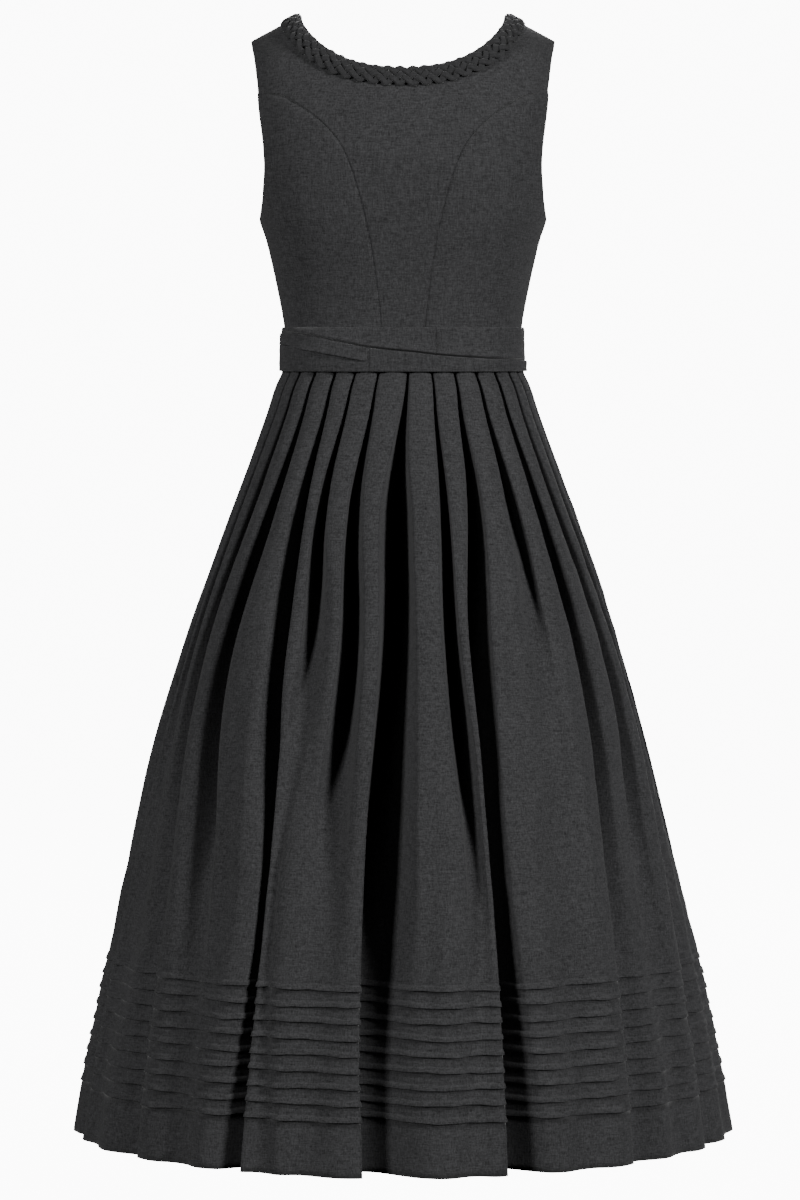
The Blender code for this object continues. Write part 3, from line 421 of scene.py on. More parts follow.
def body_normal(turn, down):
    """Unit normals of the bodice, pointing away from the wearer."""
    nudge_turn, nudge_down = 0.01, 0.0015
    around = body(turn + nudge_turn, down) - body(turn - nudge_turn, down)
    at_side = np.abs(np.abs(turn) - math.pi / 2) < nudge_turn
    sideways = points_at(np.zeros_like(turn), np.sign(turn), np.zeros_like(turn))
    around = np.where(at_side[..., None], sideways, around)
    along = body(turn, down + nudge_down) - body(turn, np.maximum(0, down - nudge_down))
    return unit(np.cross(along, around))


# --- meshes ---
def grid_faces(rows, columns, closed=False):
    """Quads of a grid, its last column joined to the first where closed."""
    row, column = np.meshgrid(np.arange(rows - 1), np.arange(columns if closed else columns - 1),
                              indexing="ij")
    after = (column + 1) % columns
    corners = (row * columns + column, row * columns + after,
               (row + 1) * columns + after, (row + 1) * columns + column)
    return np.stack(corners, axis=-1).reshape(-1, 4)


def add_object(name, data):
    """A new object in the scene."""
    thing = bpy.data.objects.new(name, data)
    bpy.context.scene.collection.objects.link(thing)
    return thing


def add_mesh(name, points, faces, material, node):
    """A piece of cloth that stands for a solid and takes its finish."""
    data = bpy.data.meshes.new(name)
    data.from_pydata(points.reshape(-1, 3).tolist(), [], faces)
    data.validate()
    data.shade_smooth()
    data.materials.append(material)
    piece = add_object(name, data)
    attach(piece, "root")
    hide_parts(node)
    return piece


def add_wall(piece, thickness):
    """Give an open sheet its cloth's thickness, inwards."""
    wall = piece.modifiers.new("cloth thickness", "SOLIDIFY")
    wall.thickness = thickness
    wall.offset = -1
    wall.use_even_offset = False


# --- bodice panels ---
def to_body(points, side, front):
    """Degrees and heights of one seam as (turn, distance from the shoulder)."""
    degrees, heights = np.asarray(points, float).T
    turn = np.radians(180 - degrees if front else degrees) * side
    return points_at(turn, depth_below_shoulder(turn, heights))


def neck_edge(columns, front):
    """Half of the neck edge, from the centre to the shoulder."""
    x = APEX_X * np.sin(math.pi / 2 * np.linspace(0, 1, columns + 1))
    share = 1 - (x / APEX_X).clip(0, 1) ** NECK_SQUARENESS
    height = APEX_Z - NECK_DROPS[front] * share ** NECK_FLATNESS
    return points_at(np.degrees(turn_at(x, height)), height)


def shoulder_edge(columns):
    """The shoulder seam from the neck to the armhole."""
    tip_x = half_width(BACK_ARMHOLE[0][1])
    x = np.linspace(APEX_X, tip_x, columns + 1)
    height = shoulder_height(x)
    edge = points_at(np.degrees(turn_at(x, height)), height)
    edge[-1] = (90, shoulder_height(tip_x))
    return edge


def armhole_part(armhole, low, high, count):
    """Even steps along the armhole between two heights, top first."""
    dense = resample(armhole, CURVE_STEPS)
    part = dense[(dense[:, 1] >= low - 1e-6) & (dense[:, 1] <= high + 1e-6)]
    return resample(part, count)


def patch(bottom, top, left, right, shares, fading=1):
    """Grid of (turn, distance) between four edges, with rows at shares of the way up."""
    columns = len(bottom)
    bottom_bend = bottom - np.linspace(bottom[0], bottom[-1], columns)
    top_bend = top - np.linspace(top[0], top[-1], columns)
    return np.array([np.linspace(*ends, columns) + (1 - up) * bottom_bend + up ** fading * top_bend
                     for *ends, up in zip(left, right, shares)])


def main_panel(front):
    """Right half of a panel up to the shoulder, and the rows where its edge turns."""
    seam, armhole = SEAMS[front]
    neck_base = APEX_Z - NECK_DROPS[front]
    level = [point for point in seam if point[1] < neck_base - YOKE_DROP]
    shares_out = np.linspace(0, 1, NECK_COLUMNS + 1)
    lower = [to_body([(share * degrees, height) for share in shares_out], 1, front)
             for degrees, height in level]
    upper = armhole_part(armhole, seam[-1][1], armhole[0][1], ARMHOLE_ROWS)[::-1]
    shoulder = shoulder_edge(SHOULDER_COLUMNS)[::-1]
    outer = to_body(np.vstack((seam[len(level) - 1:], upper[1:-1], shoulder)), 1, front)
    outer[-len(shoulder):, 1] = 0
    top = to_body(neck_edge(NECK_COLUMNS, front), 1, front)
    top[-1] = outer[-1]
    run = run_along(body(*outer.T))
    shares_up = run / run[-1]
    centre = [(0, level[-1][1] + share * (neck_base - level[-1][1])) for share in shares_up]
    yoke = patch(lower[-1], top, to_body(centre, 1, front), outer, shares_up, NECK_FADING)
    for _ in range(EVENING_ROUNDS):
        beside = yoke[1:-1, :-2] + yoke[1:-1, 2:]
        yoke[1:-1, 1:-1] = 0.25 * (yoke[:-2, 1:-1] + yoke[2:, 1:-1] + beside)
    return np.concatenate((lower, yoke[1:])), (len(seam) - 1, len(seam) - 1 + ARMHOLE_ROWS)


def side_panel(front, side):
    """Panel between a princess seam and the side seam, under the arm."""
    seam, armhole = SEAMS[front]
    under = armhole_part(armhole, UNDERARM_Z, seam[-1][1], SIDE_COLUMNS)
    under[0], under[-1] = seam[-1], (90, UNDERARM_Z)
    low, high = seam[0][1], seam[-1][1]
    heights = [low + (UNDERARM_Z - low) * (height - low) / (high - low) for _, height in seam]
    side_seam = to_body([(90, height) for height in heights], side, front)
    waist = [(degrees, WAIST_SEAM_Z) for degrees in np.linspace(seam[0][0], 90, SIDE_COLUMNS + 1)]
    waist = to_body(waist, side, front)
    shares = (side_seam[0, 1] - side_seam[:, 1]) / (side_seam[0, 1] - side_seam[-1, 1])
    return patch(waist, to_body(under, side, front), to_body(seam, side, front), side_seam, shares)


def refined(grid, at):
    """The grid's rows read along smooth curves at row numbers."""
    index = np.arange(len(grid))
    flat = grid.reshape(len(grid), -1)
    fine = np.stack([spline(index, values, at) for values in flat.T], axis=-1)
    return fine.reshape(-1, *grid.shape[1:])


def finer_grid(grid, breaks=()):
    """The panel in small cells, smooth between breaks, crowded beside the seams."""
    stops = (0, *breaks, len(grid) - 1)
    parts = []
    for start, stop in zip(stops, stops[1:]):
        at = np.linspace(0, stop - start, (stop - start) * FINER + 1)
        parts.append(refined(grid[start:stop + 1], at)[1 if parts else 0:])
    rows = np.concatenate(parts)
    cells = grid.shape[1] - 1
    even = np.linspace(0, 1, cells * FINER + 1)
    eased = 0.5 - 0.5 * np.cos(math.pi * even)
    across = ((1 - EDGE_CROWDING) * even + EDGE_CROWDING * eased) * cells
    return refined(rows.swapaxes(0, 1), across).swapaxes(0, 1)


def crease_relief(points):
    """Stand-off of the bodice's soft creases, in metres."""
    bow, reach = 0.15, 0.42  # shares of a crease's length
    relief = np.zeros(points.shape[:-1])
    x, y, z = np.moveaxis(points, -1, 0)
    for *sizes, face in BODICE_CREASES:
        x0, z0, x1, z1, wide, deep = np.array(sizes) / 1000
        span = np.array((x1 - x0, z1 - z0))
        along = ((x - x0) * span[0] + (z - z0) * span[1]) / (span @ span)
        off = ((x - x0) * span[1] - (z - z0) * span[0]) / np.linalg.norm(span)
        off = off + bow * np.linalg.norm(span) * (along - 0.5) ** 2
        fade = np.exp(-((along - 0.5) / reach) ** 4) * (y * face > 0)
        relief -= deep * np.exp(-(off / wide) ** 2) * fade
    return relief


def seam_relief(points):
    """Dips and puckers beside both sewn edges of a panel, in metres."""
    across = run_along(points.swapaxes(0, 1)).swapaxes(0, 1)
    along = run_along(points)
    relief = np.zeros(points.shape[:-1])
    for column, far in ((0, across), (-1, across[:, -1:] - across)):
        seed = 3 + 40 * points[0, column, 0]
        puckers = ripple(along[:, column], PUCKER_PITCH, seed)[:, None]
        relief -= SEAM_DITCH[0] * np.exp(-(far / SEAM_DITCH[1]) ** 2)
        relief += SEAM_PUCKER[0] * puckers * np.exp(-far / SEAM_PUCKER[1])
    return relief


def add_panel(part, end, grid, breaks, material):
    """One cut piece of the bodice."""
    fine = finer_grid(grid, breaks)
    turn, down = fine[..., 0], fine[..., 1]
    points, normals = body(turn, down), body_normal(turn, down)
    relief = crease_relief(points) + seam_relief(points)
    points = points + normals * relief[..., None]
    points[:, 0] -= unit(points[:, 1] - points[:, 0]) * SEAM_OVERLAP
    points[:, -1] -= unit(points[:, -2] - points[:, -1]) * SEAM_OVERLAP
    faces = grid_faces(*points.shape[:2])
    row, column = len(points) // 2, points.shape[1] // 2
    here, beside, above = points[row, column], points[row, column + 1], points[row + 1, column]
    if normals[row, column] @ np.cross(beside - here, above - here) < 0:
        faces = faces[:, ::-1]
    name = f"bodice_{part}{end}"
    piece = add_mesh(name + "_cloth", points, faces.tolist(), material, name)
    add_wall(piece, BODICE_WALL)


def add_bodice(material):
    """Back, side backs, side fronts and fronts."""
    half, breaks = main_panel(False)
    back = np.concatenate(((half * MIRROR)[:, :0:-1], half), axis=1)
    add_panel("back", "", back, breaks, material)
    half, breaks = main_panel(True)
    for side, end, front in ((-1, "_left", half * MIRROR), (1, "_right", half)):
        add_panel("front", end, front, breaks, material)
        add_panel("side_back", end, side_panel(False, side), (), material)
        add_panel("side_front", end, side_panel(True, side), (), material)


# --- neck trim ---
def neck_line():
    """Runs, body places and points of the neck edge, from the centre front round the left."""
    back = to_body(neck_edge(CURVE_STEPS, False), 1, False)
    front = to_body(neck_edge(CURVE_STEPS, True), 1, True)
    back[-1, 1] = front[-1, 1] = 0
    stretches, start = [], 0
    for places in (front * MIRROR, np.vstack(((back * MIRROR)[:0:-1], back)), front[::-1]):
        points = body(*places.T)
        run = start + run_along(points)
        stretches.append((run, places, points))
        start = run[-1]
    return stretches


def walk_on_body(turn, down, direction, distance, steps=4):
    """Places on the bodice at a distance from others, in a direction."""
    nudge_turn, nudge_down = 0.004, 0.001
    for _ in range(steps):
        by_turn = body(turn + nudge_turn, down) - body(turn - nudge_turn, down)
        by_down = body(turn, down + nudge_down) - body(turn, down - nudge_down)
        by_turn, by_down = by_turn / (2 * nudge_turn), by_down / (2 * nudge_down)
        normal = unit(np.cross(by_down, by_turn))
        heading = unit(direction - normal * (direction * normal).sum(-1, keepdims=True))
        heading = heading * (distance / steps)[..., None]
        a, b = (by_turn * by_turn).sum(-1), (by_turn * by_down).sum(-1)
        c = (by_down * by_down).sum(-1)
        p, q = (by_turn * heading).sum(-1), (by_down * heading).sum(-1)
        scale = np.maximum(1e-15, a * c - b * b)
        turn, down = turn + (p * c - q * b) / scale, down + (q * a - p * b) / scale
    return turn, down


def beside_neck(neck, at, distance):
    """Points and normals of the bodice at distances from the neck edge."""
    nudge, back_stretch = 0.002, 1
    points, normals = np.zeros((len(at), 3)), np.zeros((len(at), 3))
    lows = [run[0] for run, _, _ in neck]
    which = np.searchsorted(lows, at, side="right") - 1
    for index, (run, places, line) in enumerate(neck):
        mine = which == index
        turn, down = read_line(at[mine], run, places).T
        along = read_line(at[mine] + nudge, run, line) - read_line(at[mine] - nudge, run, line)
        away = unit(np.cross(along, body_normal(turn, down)))
        turn, down = walk_on_body(turn, down, away, distance[mine])
        if index != back_stretch:
            turn = np.copysign(np.maximum(np.abs(turn), math.pi / 2), turn)
        down = np.maximum(0, down)
        points[mine], normals[mine] = body(turn, down), body_normal(turn, down)
    return points, normals


def cord_path(phase, steps):
    """Slot (0 to 3) and rise (-1 to 1) of one cord at each step."""
    slots = np.array((0, 1, 2, 3, 3, 2, 1, 0))
    rises = np.array((1, -1, 1, 0, -1, 1, -1, 0))
    step = (steps + 2 * phase) % len(slots)
    cell = step.astype(int)
    share = step - cell
    following = slots[(cell + 1) % len(slots)]
    straightness = 0.6
    crossed = straightness * share + (1 - straightness) * smooth(share)
    turning = (following == slots[cell]) * np.sin(math.pi * share)
    slot = slots[cell] + (following - slots[cell]) * crossed
    slot = slot + TURN_BULGE * turning * np.sign(slots[cell] - 1.5)
    return slot, rises[cell] * np.sin(math.pi * share) - TURN_DIP * turning


def calm_shares(neck, at):
    """1 along the neck, and less where the plait crosses a shoulder."""
    half = 0.5 * neck[-1][0][-1]
    to_shoulder = half - neck[0][0][-1]
    off = (np.abs(at - half) - to_shoulder) / SHOULDER_CALM[1]
    return 1 - SHOULDER_CALM[0] * np.exp(-off ** 2)


def cord_ring(wide, thick):
    """Distances sideways and upwards of the points round a cord."""
    side_power, rise_power, groove_width = 0.85, 0.8, 0.3
    angles = np.linspace(0, 2 * math.pi, CORD_SIDES, endpoint=False)
    sideways, upwards = np.cos(angles), np.sin(angles)
    groove = 1 - CORD_GROOVE * np.exp(-(sideways / groove_width) ** 2)
    sideways = signed_power(sideways, side_power) * wide[:, None] * groove
    upwards = signed_power(upwards, rise_power) * thick[:, None] * groove
    return sideways[..., None], upwards[..., None]


def cord_points(neck, cord, at, steps):
    """Points of one cord: its rings, then the middles of its two ends."""
    slot, rise = cord_path(cord, steps)
    spacing = (PLAIT_WIDTH - CORD_WIDTH) / (CORDS - 1 + 2 * TURN_BULGE)
    across = 0.5 * CORD_WIDTH + spacing * (slot + TURN_BULGE + waves(at, CORD_WANDER, cord))
    surface, normals = beside_neck(neck, at, across)
    calm = calm_shares(neck, at)
    middle = surface + normals * ((PLAIT_LIFT + CORD_RISE * rise) * calm)[:, None]
    tangent = unit(np.gradient(middle, axis=0))
    flat = unit(np.cross(normals, tangent))
    up = unit(np.cross(tangent, flat))
    swell = 1 + waves(at, CORD_SWELL, cord)
    thick = 0.5 * CORD_THICKNESS * (2 - swell) * calm
    sideways, upwards = cord_ring(0.5 * CORD_WIDTH * swell, thick)
    rings = middle[:, None] + flat[:, None] * sideways + up[:, None] * upwards
    return np.concatenate((rings.reshape(-1, 3), middle[:1], middle[-1:]))


def tube_faces(rings, sides):
    """Quads round a tube, and fans to its two end points."""
    last, end = (rings - 1) * sides, rings * sides
    faces = grid_faces(rings, sides, closed=True).tolist()
    for side in range(sides):
        after = (side + 1) % sides
        faces += [[end, after, side], [end + 1, last + side, last + after]]
    return faces


def add_plait(material):
    """Four soft cords, each over and under the others, round the neck."""
    neck = neck_line()
    length = neck[-1][0][-1]
    half_strokes = 2 * round(length / PLAIT_PITCH)
    count = half_strokes * CORD_STEPS + 1
    at = np.linspace(PLAIT_END_GAP, length - PLAIT_END_GAP, count)
    steps = np.linspace(0, half_strokes, count)
    cords = [cord_points(neck, cord, at, steps) for cord in range(CORDS)]
    tube = tube_faces(count, CORD_SIDES)
    faces = [[cord * len(cords[0]) + corner for corner in face] for cord in range(CORDS) for face in tube]
    add_mesh("neck_plait", np.concatenate(cords), faces, material, "neck_braid")


# --- belt ---
def belt_point(turn, height, offset):
    """Points of the belt at turns, heights and distances off the bodice."""
    foot = (BELT_TOP_Z - height) / (BELT_TOP_Z - BELT_FOOT_Z)
    width = half_width(BELT_TOP_Z) + BELT_FLARE * foot + offset
    depth = np.where(np.abs(turn) <= math.pi / 2, back_depth(BELT_TOP_Z), front_depth(BELT_TOP_Z))
    depth = depth + BELT_FLARE * foot + offset
    x = width * signed_power(np.sin(turn), BODY_POWER)
    y = -depth * signed_power(np.cos(turn), BODY_POWER)
    return points_at(x, y, height)


def over_edge(turn):
    """Height of the outer band's upper edge."""
    degrees, heights = zip(*OVER_EDGE)
    return spline(degrees, heights, np.degrees(turn))


def band_creases(turn, height, seed):
    """Small lengthwise ripples of a belt band, in metres."""
    tall, pitch, straying = 0.00045, 0.013, 0.004
    run = turn * half_width(BELT_TOP_Z)
    drift = height + straying * ripple(run, 0.16, seed)
    return tall * ripple(drift, pitch, seed) * (0.6 + 0.4 * ripple(run, 0.09, seed + 2))


def crossing_relief(turn, height):
    """Bulge and dip of the full band above the edge that crosses it."""
    tall, bulge_start, bulge_rise, bulge_top, bulge_fading = 0.003, 0.0009, 0.0016, 0.0035, 0.007
    deep, dip_start, dip_width = 0.0012, 0.0005, 0.0009
    calm_turn, calming = math.radians(84), math.radians(30)
    above = height - over_edge(turn)
    bulge = smooth((above - bulge_start) / bulge_rise)
    bulge = bulge * np.exp(-np.maximum(above - bulge_top, 0) / bulge_fading)
    dip = np.exp(-(np.maximum(above - dip_start, 0) / dip_width) ** 2)
    return smooth((calm_turn - np.abs(turn)) / calming) * (tall * bulge - deep * dip)


def fold_relief(turn, height):
    """Pressed fold of the outer band: a step and a dip."""
    tall, fading, deep, dip_below, dip_width = 0.0036, 0.0055, 0.0009, 0.00055, 0.00132
    fold_degrees, fold_heights = zip(*OVER_FOLD)
    start, stop = fold_degrees[0], fold_degrees[-1] + 1
    degrees = np.degrees(turn)
    above = height - spline(fold_degrees, fold_heights, degrees)
    step = tall * np.exp(-np.maximum(above, 0) / fading) * (above > 0)
    dip = deep * np.exp(-((above + dip_below) / dip_width) ** 2)
    return smooth((degrees - start) / 10) * (degrees < stop) * (step - dip)


def band_face(turn, height, share, offset, over):
    """Distance off the bodice of a band's outer face."""
    rolled = 1 - np.minimum(1, np.minimum(share, 1 - share) / EDGE_ROLL)
    flat = 1 - rolled
    out = offset + BELT_WALL * (1 - EDGE_THINNING * rolled ** 2)
    out = out + (BAND_FULLNESS + band_creases(turn, height, 5 if over else 9)) * flat
    to_end = np.minimum(turn - turn[0], turn[-1] - turn) * half_width(BELT_TOP_Z)
    out = out - JOIN_DIP[0] * np.exp(-(to_end / JOIN_DIP[1]) ** 2)
    return out + (fold_relief(turn, height) if over else crossing_relief(turn, height) * flat)


def band_grid(turn, offset, over):
    """Rows of the outer and the inner face of a band, and its greatest height."""
    top = over_edge(turn) if over else np.full_like(turn, BELT_TOP_Z)
    share = np.array(BAND_ROWS)[:, None]
    height = top + share * (BELT_FOOT_Z - top)
    outside = belt_point(turn, height, band_face(turn, height, share, offset, over))
    share = np.linspace(1, 0, BAND_INSIDE_ROWS)[:, None]
    inside = belt_point(turn, top + share * (BELT_FOOT_Z - top), offset)
    return outside, inside, float((top - BELT_FOOT_Z).max())


def add_band(name, start, stop, offset, over, material):
    """One length of a belt band as a closed doubled strip with rolled edges."""
    columns = int(BAND_COLUMNS * (stop - start) / math.pi)
    turn = np.linspace(start, stop, columns + 1)
    overlap = SEAM_OVERLAP / half_width(BELT_TOP_Z)
    turn[0], turn[-1] = turn[0] - overlap, turn[-1] + overlap
    outside, inside, wide = band_grid(turn, offset, over)
    grid = np.concatenate((outside, inside)).swapaxes(0, 1)
    rows = grid.shape[1]
    last = columns * rows
    faces = grid_faces(columns + 1, rows, closed=True)[:, ::-1].tolist()
    faces += [list(range(rows)), list(range(last + rows - 1, last - 1, -1))]
    piece = add_mesh(name + "_cloth", grid, faces, material, name)


def add_belt(material):
    """A full-height band and a narrower one across it, each in two lengths."""
    outer_ease = BELT_EASE + BELT_WALL + LAYER_GAP
    for band, join_x, ease in (("under", UNDER_JOIN_X, BELT_EASE), ("over", OVER_JOIN_X, outer_ease)):
        join, over = float(turn_at(join_x, BELT_TOP_Z)), band == "over"
        add_band(f"belt_{band}_left", -math.pi, join, ease, over, material)
        add_band(f"belt_{band}_right", join, math.pi, ease, over, material)


# --- skirt ---
class Ring:
    """The skirt's smooth outline at one height."""

    readers = section_readers(SKIRT_SECTIONS)

    def __init__(self, height):
        width, back, front, roundness = [float(read(height)) for read in self.readers]
        self.turns = np.linspace(-math.pi, math.pi, RING_STEPS + 1)
        sines, cosines = np.sin(self.turns), np.cos(self.turns)
        power = 2 / roundness
        x = width * signed_power(sines, power)
        y = -np.where(cosines >= 0, back, front) * signed_power(cosines, power)
        x[0] = x[-1] = 0
        self.plan = points_at(x, y)
        self.run = run_along(self.plan)
        self.length = float(self.run[-1])

    def place(self, degrees):
        """Distance round the outline at angles from the centre back."""
        return np.interp(np.radians(degrees), self.turns, self.run)

    def read(self, run):
        """Points of the outline at distances round it."""
        return read_line(run % self.length, self.run, self.plan)

    def points(self, run, inward):
        """Points of the plan at distances round, moved inward."""
        tangent = unit(self.read(run + 0.002) - self.read(run - 0.002))
        normal = points_at(-tangent[..., 1], tangent[..., 0])
        return self.read(run) + inward[..., None] * normal


def pleat_form(share, crisp):
    """Share of a pleat's depth at places across its mouth (-1 to 1)."""
    bottom = PLEAT_BOTTOM * crisp
    side = np.where(share < bottom, -1, 1)
    out = np.abs(share - bottom) / (1 - side * bottom)
    hard = 1 - out ** HARD_CURVE
    soft = np.cos(math.pi / 2 * np.minimum(1, out)) ** 2
    crispness = 0.5 + 0.5 * crisp * side
    form = crispness * hard + (1 - crispness) * soft
    return np.sin(math.pi / 2 * form) ** STEEPNESS


def pleat_at(pleat, height):
    """Angle, half mouth, depth and crisp side of a pleat at a height."""
    angle = spline(PLEAT_STATIONS[::-1], pleat[:5][::-1], height)
    mouth, depth, faded, left_over, crisp_top, crisp_hem = pleat[5:]
    opened = smooth((PLEAT_START - height) / PLEAT_OPENING)
    running_out = smooth((faded + PLEAT_FADING - height) / PLEAT_FADING)
    half_mouth = WAIST_PLEAT[0] + (mouth / 1000 - WAIST_PLEAT[0]) * opened
    spreading = smooth((faded + PLEAT_SPREADING - height) / PLEAT_SPREADING)
    half_mouth *= 1 + (HEM_SPREAD - 1) * spreading
    full = WAIST_PLEAT[1] + (depth / 1000 - WAIST_PLEAT[1]) * opened
    deep = full * (max(LEAST_LEFT, left_over / 1000) / full) ** running_out
    crisp = crisp_top + (crisp_hem - crisp_top) * smooth((CRISP_SWAP_Z - height) / CRISP_SWAP_DROP)
    return angle, half_mouth, deep, crisp


def small_waves(run, height):
    """Small unevenness of the skirt, in metres."""
    broad, small, settling = 0.0011, 0.0007, 0.3
    settled = smooth((PLEAT_START - height) / settling)
    drift = run + 0.05 * math.sin(height * 9)
    broad = broad * ripple(drift, 0.085, 2) * ripple(height, 0.52, 1.3)
    return settled * (broad + small * ripple(drift + 0.21 * height, 0.047, 5))


def soft_relief(ring, run, height):
    """Stand-off between the pleats, in metres."""
    straying, narrow_top, widening, curve = 0.006, 0.7, 0.6, 1.2
    relief = np.zeros_like(run)
    for top, foot, high, low, wide, tall in SOFT_FOLDS:
        share = (high - height) / (high - low)
        if not 0 < share < 1:
            continue
        middle = float(ring.place(top + (foot - top) * share))
        middle += straying * ripple(height, 0.31, top)
        grown = wide / 1000 * (narrow_top + widening * share)
        strength = FOLD_STRENGTH * tall / 1000 * math.sin(math.pi * share) ** curve
        relief += strength * np.exp(-((run - middle) / grown) ** 2)
    return relief + small_waves(run, height)


def skirt_ring(height):
    """One ring: plan points, their places in the order of the pleats, and runs."""
    ring = Ring(height)
    settled = [pleat_at(pleat, height) for pleat in PLEATS]
    centres = ring.place([angle for angle, *_ in settled])
    to_next = np.diff(np.append(centres, centres[0] + ring.length))
    to_nearest = np.minimum(to_next, np.roll(to_next, 1))
    mouths = np.minimum([mouth for _, mouth, *_ in settled], WIDEST_MOUTH * to_nearest)
    widths = to_next - mouths - np.roll(mouths, -1)
    sides = -np.cos(math.pi * np.linspace(0, 1, MOUTH_STEPS + 1))
    across = np.linspace(0, 1, PANEL_STEPS + 2)[1:-1]
    runs, inward, places = [], [], []
    for rank, (_, _, deep, crisp) in enumerate(settled):
        bottom = PLEAT_BOTTOM * crisp
        share = bottom + sides * (1 - bottom * np.sign(sides))
        form = pleat_form(share, crisp)
        lean = PLEAT_LEAN * crisp * form * min(1, deep / LEANING_DEPTH)
        runs += [centres[rank] + mouths[rank] * (share + lean)]
        runs += [centres[rank] + mouths[rank] + across * widths[rank]]
        crown = PANEL_CROWN * min(WIDEST_CROWN, widths[rank])
        inward += [deep * form, -crown * np.sin(math.pi * across)]
        places += [rank + 0.5 + 0.3 * sides, rank + 0.8 + 0.4 * across]
    runs, inward, places = [np.concatenate(rows) for rows in (runs, inward, places)]
    inward = inward - soft_relief(ring, runs, height)
    return ring, ring.points(runs, inward), places, runs


def ring_heights():
    """Height, stand-off (mm) and tuck number (-1 for none) of each ring."""
    shares = np.linspace(0, 1, UPPER_ROWS) ** ROW_CROWDING
    rows = [(height, 0, -1) for height in PLEAT_TOP_Z + (TUCKS_TOP_Z - PLEAT_TOP_Z) * shares]
    for tuck in range(TUCKS):
        lip = FIRST_TUCK_Z - tuck * TUCK_PITCH
        rows += [(lip + rise * TUCK_PITCH, stand_off, tuck) for rise, stand_off in TUCK_SECTION]
    foot = FIRST_TUCK_Z - (TUCKS - 1 + BELOW_TUCKS) * TUCK_PITCH
    rows += [(height, 0, -1) for height in np.linspace(foot, HEM_Z, HEM_ROWS + 1)[1:]]
    return rows


def rounded(points, pull=0.2):
    """The points, each but the ends drawn towards both its neighbours."""
    eased = points.copy()
    eased[1:-1] = pull * points[:-2] + (1 - 2 * pull) * points[1:-1] + pull * points[2:]
    return eased


def plan_normals(points):
    """Outward normals of a row of plan points, evened out."""
    across, along = rounded(rounded(np.gradient(points, axis=0), 0.25), 0.25).T
    return unit(points_at(along, -across))


def skirt_row(ring, plan, places, runs, seams):
    """Plan points and runs of one piece's part of a ring."""
    low, high = [sum(pleat[0] < seam for pleat in PLEATS) for seam in seams]
    inside = (places > low) & (places < high)
    ends = ring.place(seams) + np.array((-SEAM_OVERLAP, SEAM_OVERLAP))
    first, last = ring.points(ends, np.full(2, SEAM_SINK))
    points = rounded(np.vstack((first, plan[inside], last)))
    return points, np.concatenate((ends[:1], runs[inside], ends[1:]))


def raised_row(points, run, height, stand_off, tuck):
    """A row at its height, let out and swayed where it belongs to a tuck."""
    heights = np.full(len(points), height)
    if tuck >= 0:
        heights = heights + waves(run, TUCK_SWAY, tuck)
        out = stand_off / 1000 * (1 + waves(run, TUCK_UNEVENNESS, tuck))
        points = points + plan_normals(points) * out[:, None]
    return np.column_stack((points, heights))


def add_skirt(material):
    """Back and two fronts, pleated above and tucked below."""
    walls = {name: [] for name in SKIRT_PIECES}
    for height, stand_off, tuck in ring_heights():
        ring, plan, places, runs = skirt_ring(height)
        for name, *seams in zip(SKIRT_PIECES, SKIRT_SEAMS, SKIRT_SEAMS[1:]):
            points, run = skirt_row(ring, plan, places, runs, seams)
            walls[name].append(raised_row(points, run, height, stand_off, tuck))
    for name, rows in walls.items():
        points = np.array(rows)
        faces = grid_faces(*points.shape[:2])[:, ::-1].tolist()
        piece = add_mesh(name + "_cloth", points, faces, material, name)
        add_wall(piece, SKIRT_WALL)


# --- materials ---
def set_inputs(node, inputs):
    """Set a node's inputs, or link them where sockets are given."""
    for key, value in inputs.items():
        if isinstance(value, bpy.types.NodeSocket):
            node.id_data.links.new(value, node.inputs[key])
        else:
            node.inputs[key].default_value = value


def add_node(tree, kind, inputs, operation=None):
    """First output of a new shader node."""
    node = tree.nodes.new("ShaderNode" + kind)
    if operation:
        node.operation = operation
    set_inputs(node, inputs)
    return node.outputs[0]


def noise(tree, place, scale, detail):
    """Noise of its own scale along each axis of the piece."""
    vector = add_node(tree, "Mapping", {"Vector": place, "Scale": scale})
    return add_node(tree, "TexNoise", {"Vector": vector, "Scale": 1, "Detail": detail})


def combine(tree, socket, *steps):
    """Result of sums taken in turn, each an operation and a number or a socket."""
    for operation, value in steps:
        socket = add_node(tree, "Math", {0: socket, 1: value}, operation)
    return socket


def weave_tone(tree, place, weave):
    """The threads' relief, and their tone as a share of the colour."""
    upright, level, fibres, clouds = [noise(tree, place, *sizes) for sizes in NOISES]
    threads = combine(tree, upright, ("ADD", level), ("ADD", fibres))
    tone = combine(tree, threads, ("MULTIPLY", 1 / 3), ("SUBTRACT", 0.5),
                   ("MULTIPLY", WEAVE_CONTRAST * weave), ("ADD", 1))
    drift = combine(tree, clouds, ("SUBTRACT", 0.5), ("MULTIPLY", CLOUD_CONTRAST))
    return threads, combine(tree, tone, ("ADD", drift), ("MAXIMUM", DARKEST_TONE))


def charcoal(name, colour, roughness=LINEN_ROUGHNESS, weave=1):
    """Charcoal cloth with slubs both ways and a fine thread relief."""
    material = bpy.data.materials.new("charcoal_" + name)
    material.use_nodes = True
    tree = material.node_tree
    place = tree.nodes.new("ShaderNodeTexCoord").outputs["Object"]
    threads, tone = weave_tone(tree, place, weave)
    toned = add_node(tree, "VectorMath", {0: colour, "Scale": tone}, "SCALE")
    relief = {"Strength": THREAD_BUMP * weave, "Distance": THREAD_HEIGHT, "Height": threads}
    set_inputs(tree.nodes["Principled BSDF"], {
        "Base Color": toned, "Normal": add_node(tree, "Bump", relief), "Roughness": roughness,
        "Sheen Weight": 0.25, "Sheen Roughness": 0.5, "Specular IOR Level": 0.25,
    })
    return material


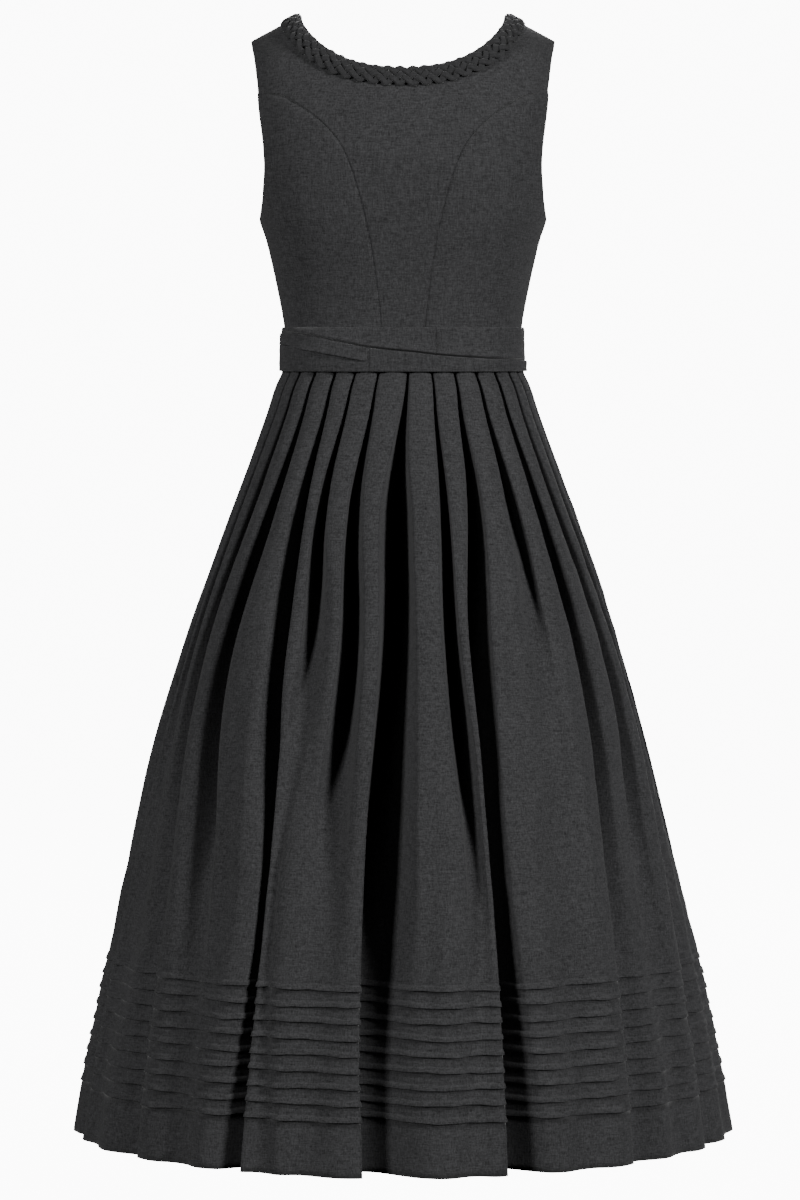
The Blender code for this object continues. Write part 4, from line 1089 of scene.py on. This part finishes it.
# --- studio ---
def studio_material():
    """An even white surface that glows."""
    material = bpy.data.materials.new("studio_white")
    material.use_nodes = True
    set_inputs(material.node_tree.nodes["Principled BSDF"], {
        "Base Color": STUDIO_WHITE, "Roughness": 0.9, "Specular IOR Level": 0.1,
        "Emission Color": STUDIO_WHITE, "Emission Strength": STUDIO_GLOW,
    })
    return material


def add_floor():
    """A round white floor that lights nothing itself."""
    turns = np.linspace(0, 2 * math.pi, STUDIO_SIDES, endpoint=False)
    rim = [(STUDIO_RADIUS * math.cos(turn), STUDIO_RADIUS * math.sin(turn), FLOOR_Z) for turn in turns]
    data = bpy.data.meshes.new("studio_floor")
    data.from_pydata(rim, [], [list(range(STUDIO_SIDES))])
    data.materials.append(studio_material())
    floor = add_object("studio_floor", data)
    floor.visible_diffuse = False
    floor.visible_glossy = False


def add_air():
    """White air all round that lights nothing itself."""
    world = bpy.data.worlds.new("studio_air")
    world.use_nodes = True
    air = {"Color": STUDIO_WHITE, "Strength": STUDIO_GLOW}
    set_inputs(world.node_tree.nodes["Background"], air)
    world.cycles_visibility.diffuse = False
    world.cycles_visibility.glossy = False
    bpy.context.scene.world = world


def aimed(name, data, place, target):
    """A light or camera at a place, turned to a target."""
    thing = add_object(name, data)
    thing.location = place
    thing.rotation_euler = (Vector(target) - Vector(place)).to_track_quat("-Z", "Y").to_euler()
    return thing


def add_lights():
    """A key from the right, a weaker fill from the left and a lift from behind."""
    for name, place, size, power in LIGHTS:
        data = bpy.data.lights.new(name, "AREA")
        data.shape = "SQUARE"
        data.size = size
        data.energy = power
        aimed(name, data, place, LIGHT_TARGET)


def add_camera():
    """The view of the back, from waist height."""
    data = bpy.data.cameras.new("camera")
    pixels_away = -CAMERA_Y / METRES_PER_PIXEL
    data.sensor_fit = "HORIZONTAL"
    data.sensor_width = SENSOR_WIDTH
    data.lens = SENSOR_WIDTH * pixels_away / IMAGE_WIDTH
    place, target = (PICTURE_X, CAMERA_Y, EYE_Z), (PICTURE_X, 0, PICTURE_Z)
    bpy.context.scene.camera = aimed("camera", data, place, target)


# --- the whole ---
add_camera()
add_lights()
add_floor()
add_air()
add_bodice(charcoal("bodice", BODICE_COLOUR))
add_plait(charcoal("cord", CORD_COLOUR, CORD_ROUGHNESS, CORD_WEAVE))
add_belt(charcoal("belt", BELT_COLOUR))
add_skirt(charcoal("skirt", SKIRT_COLOUR))
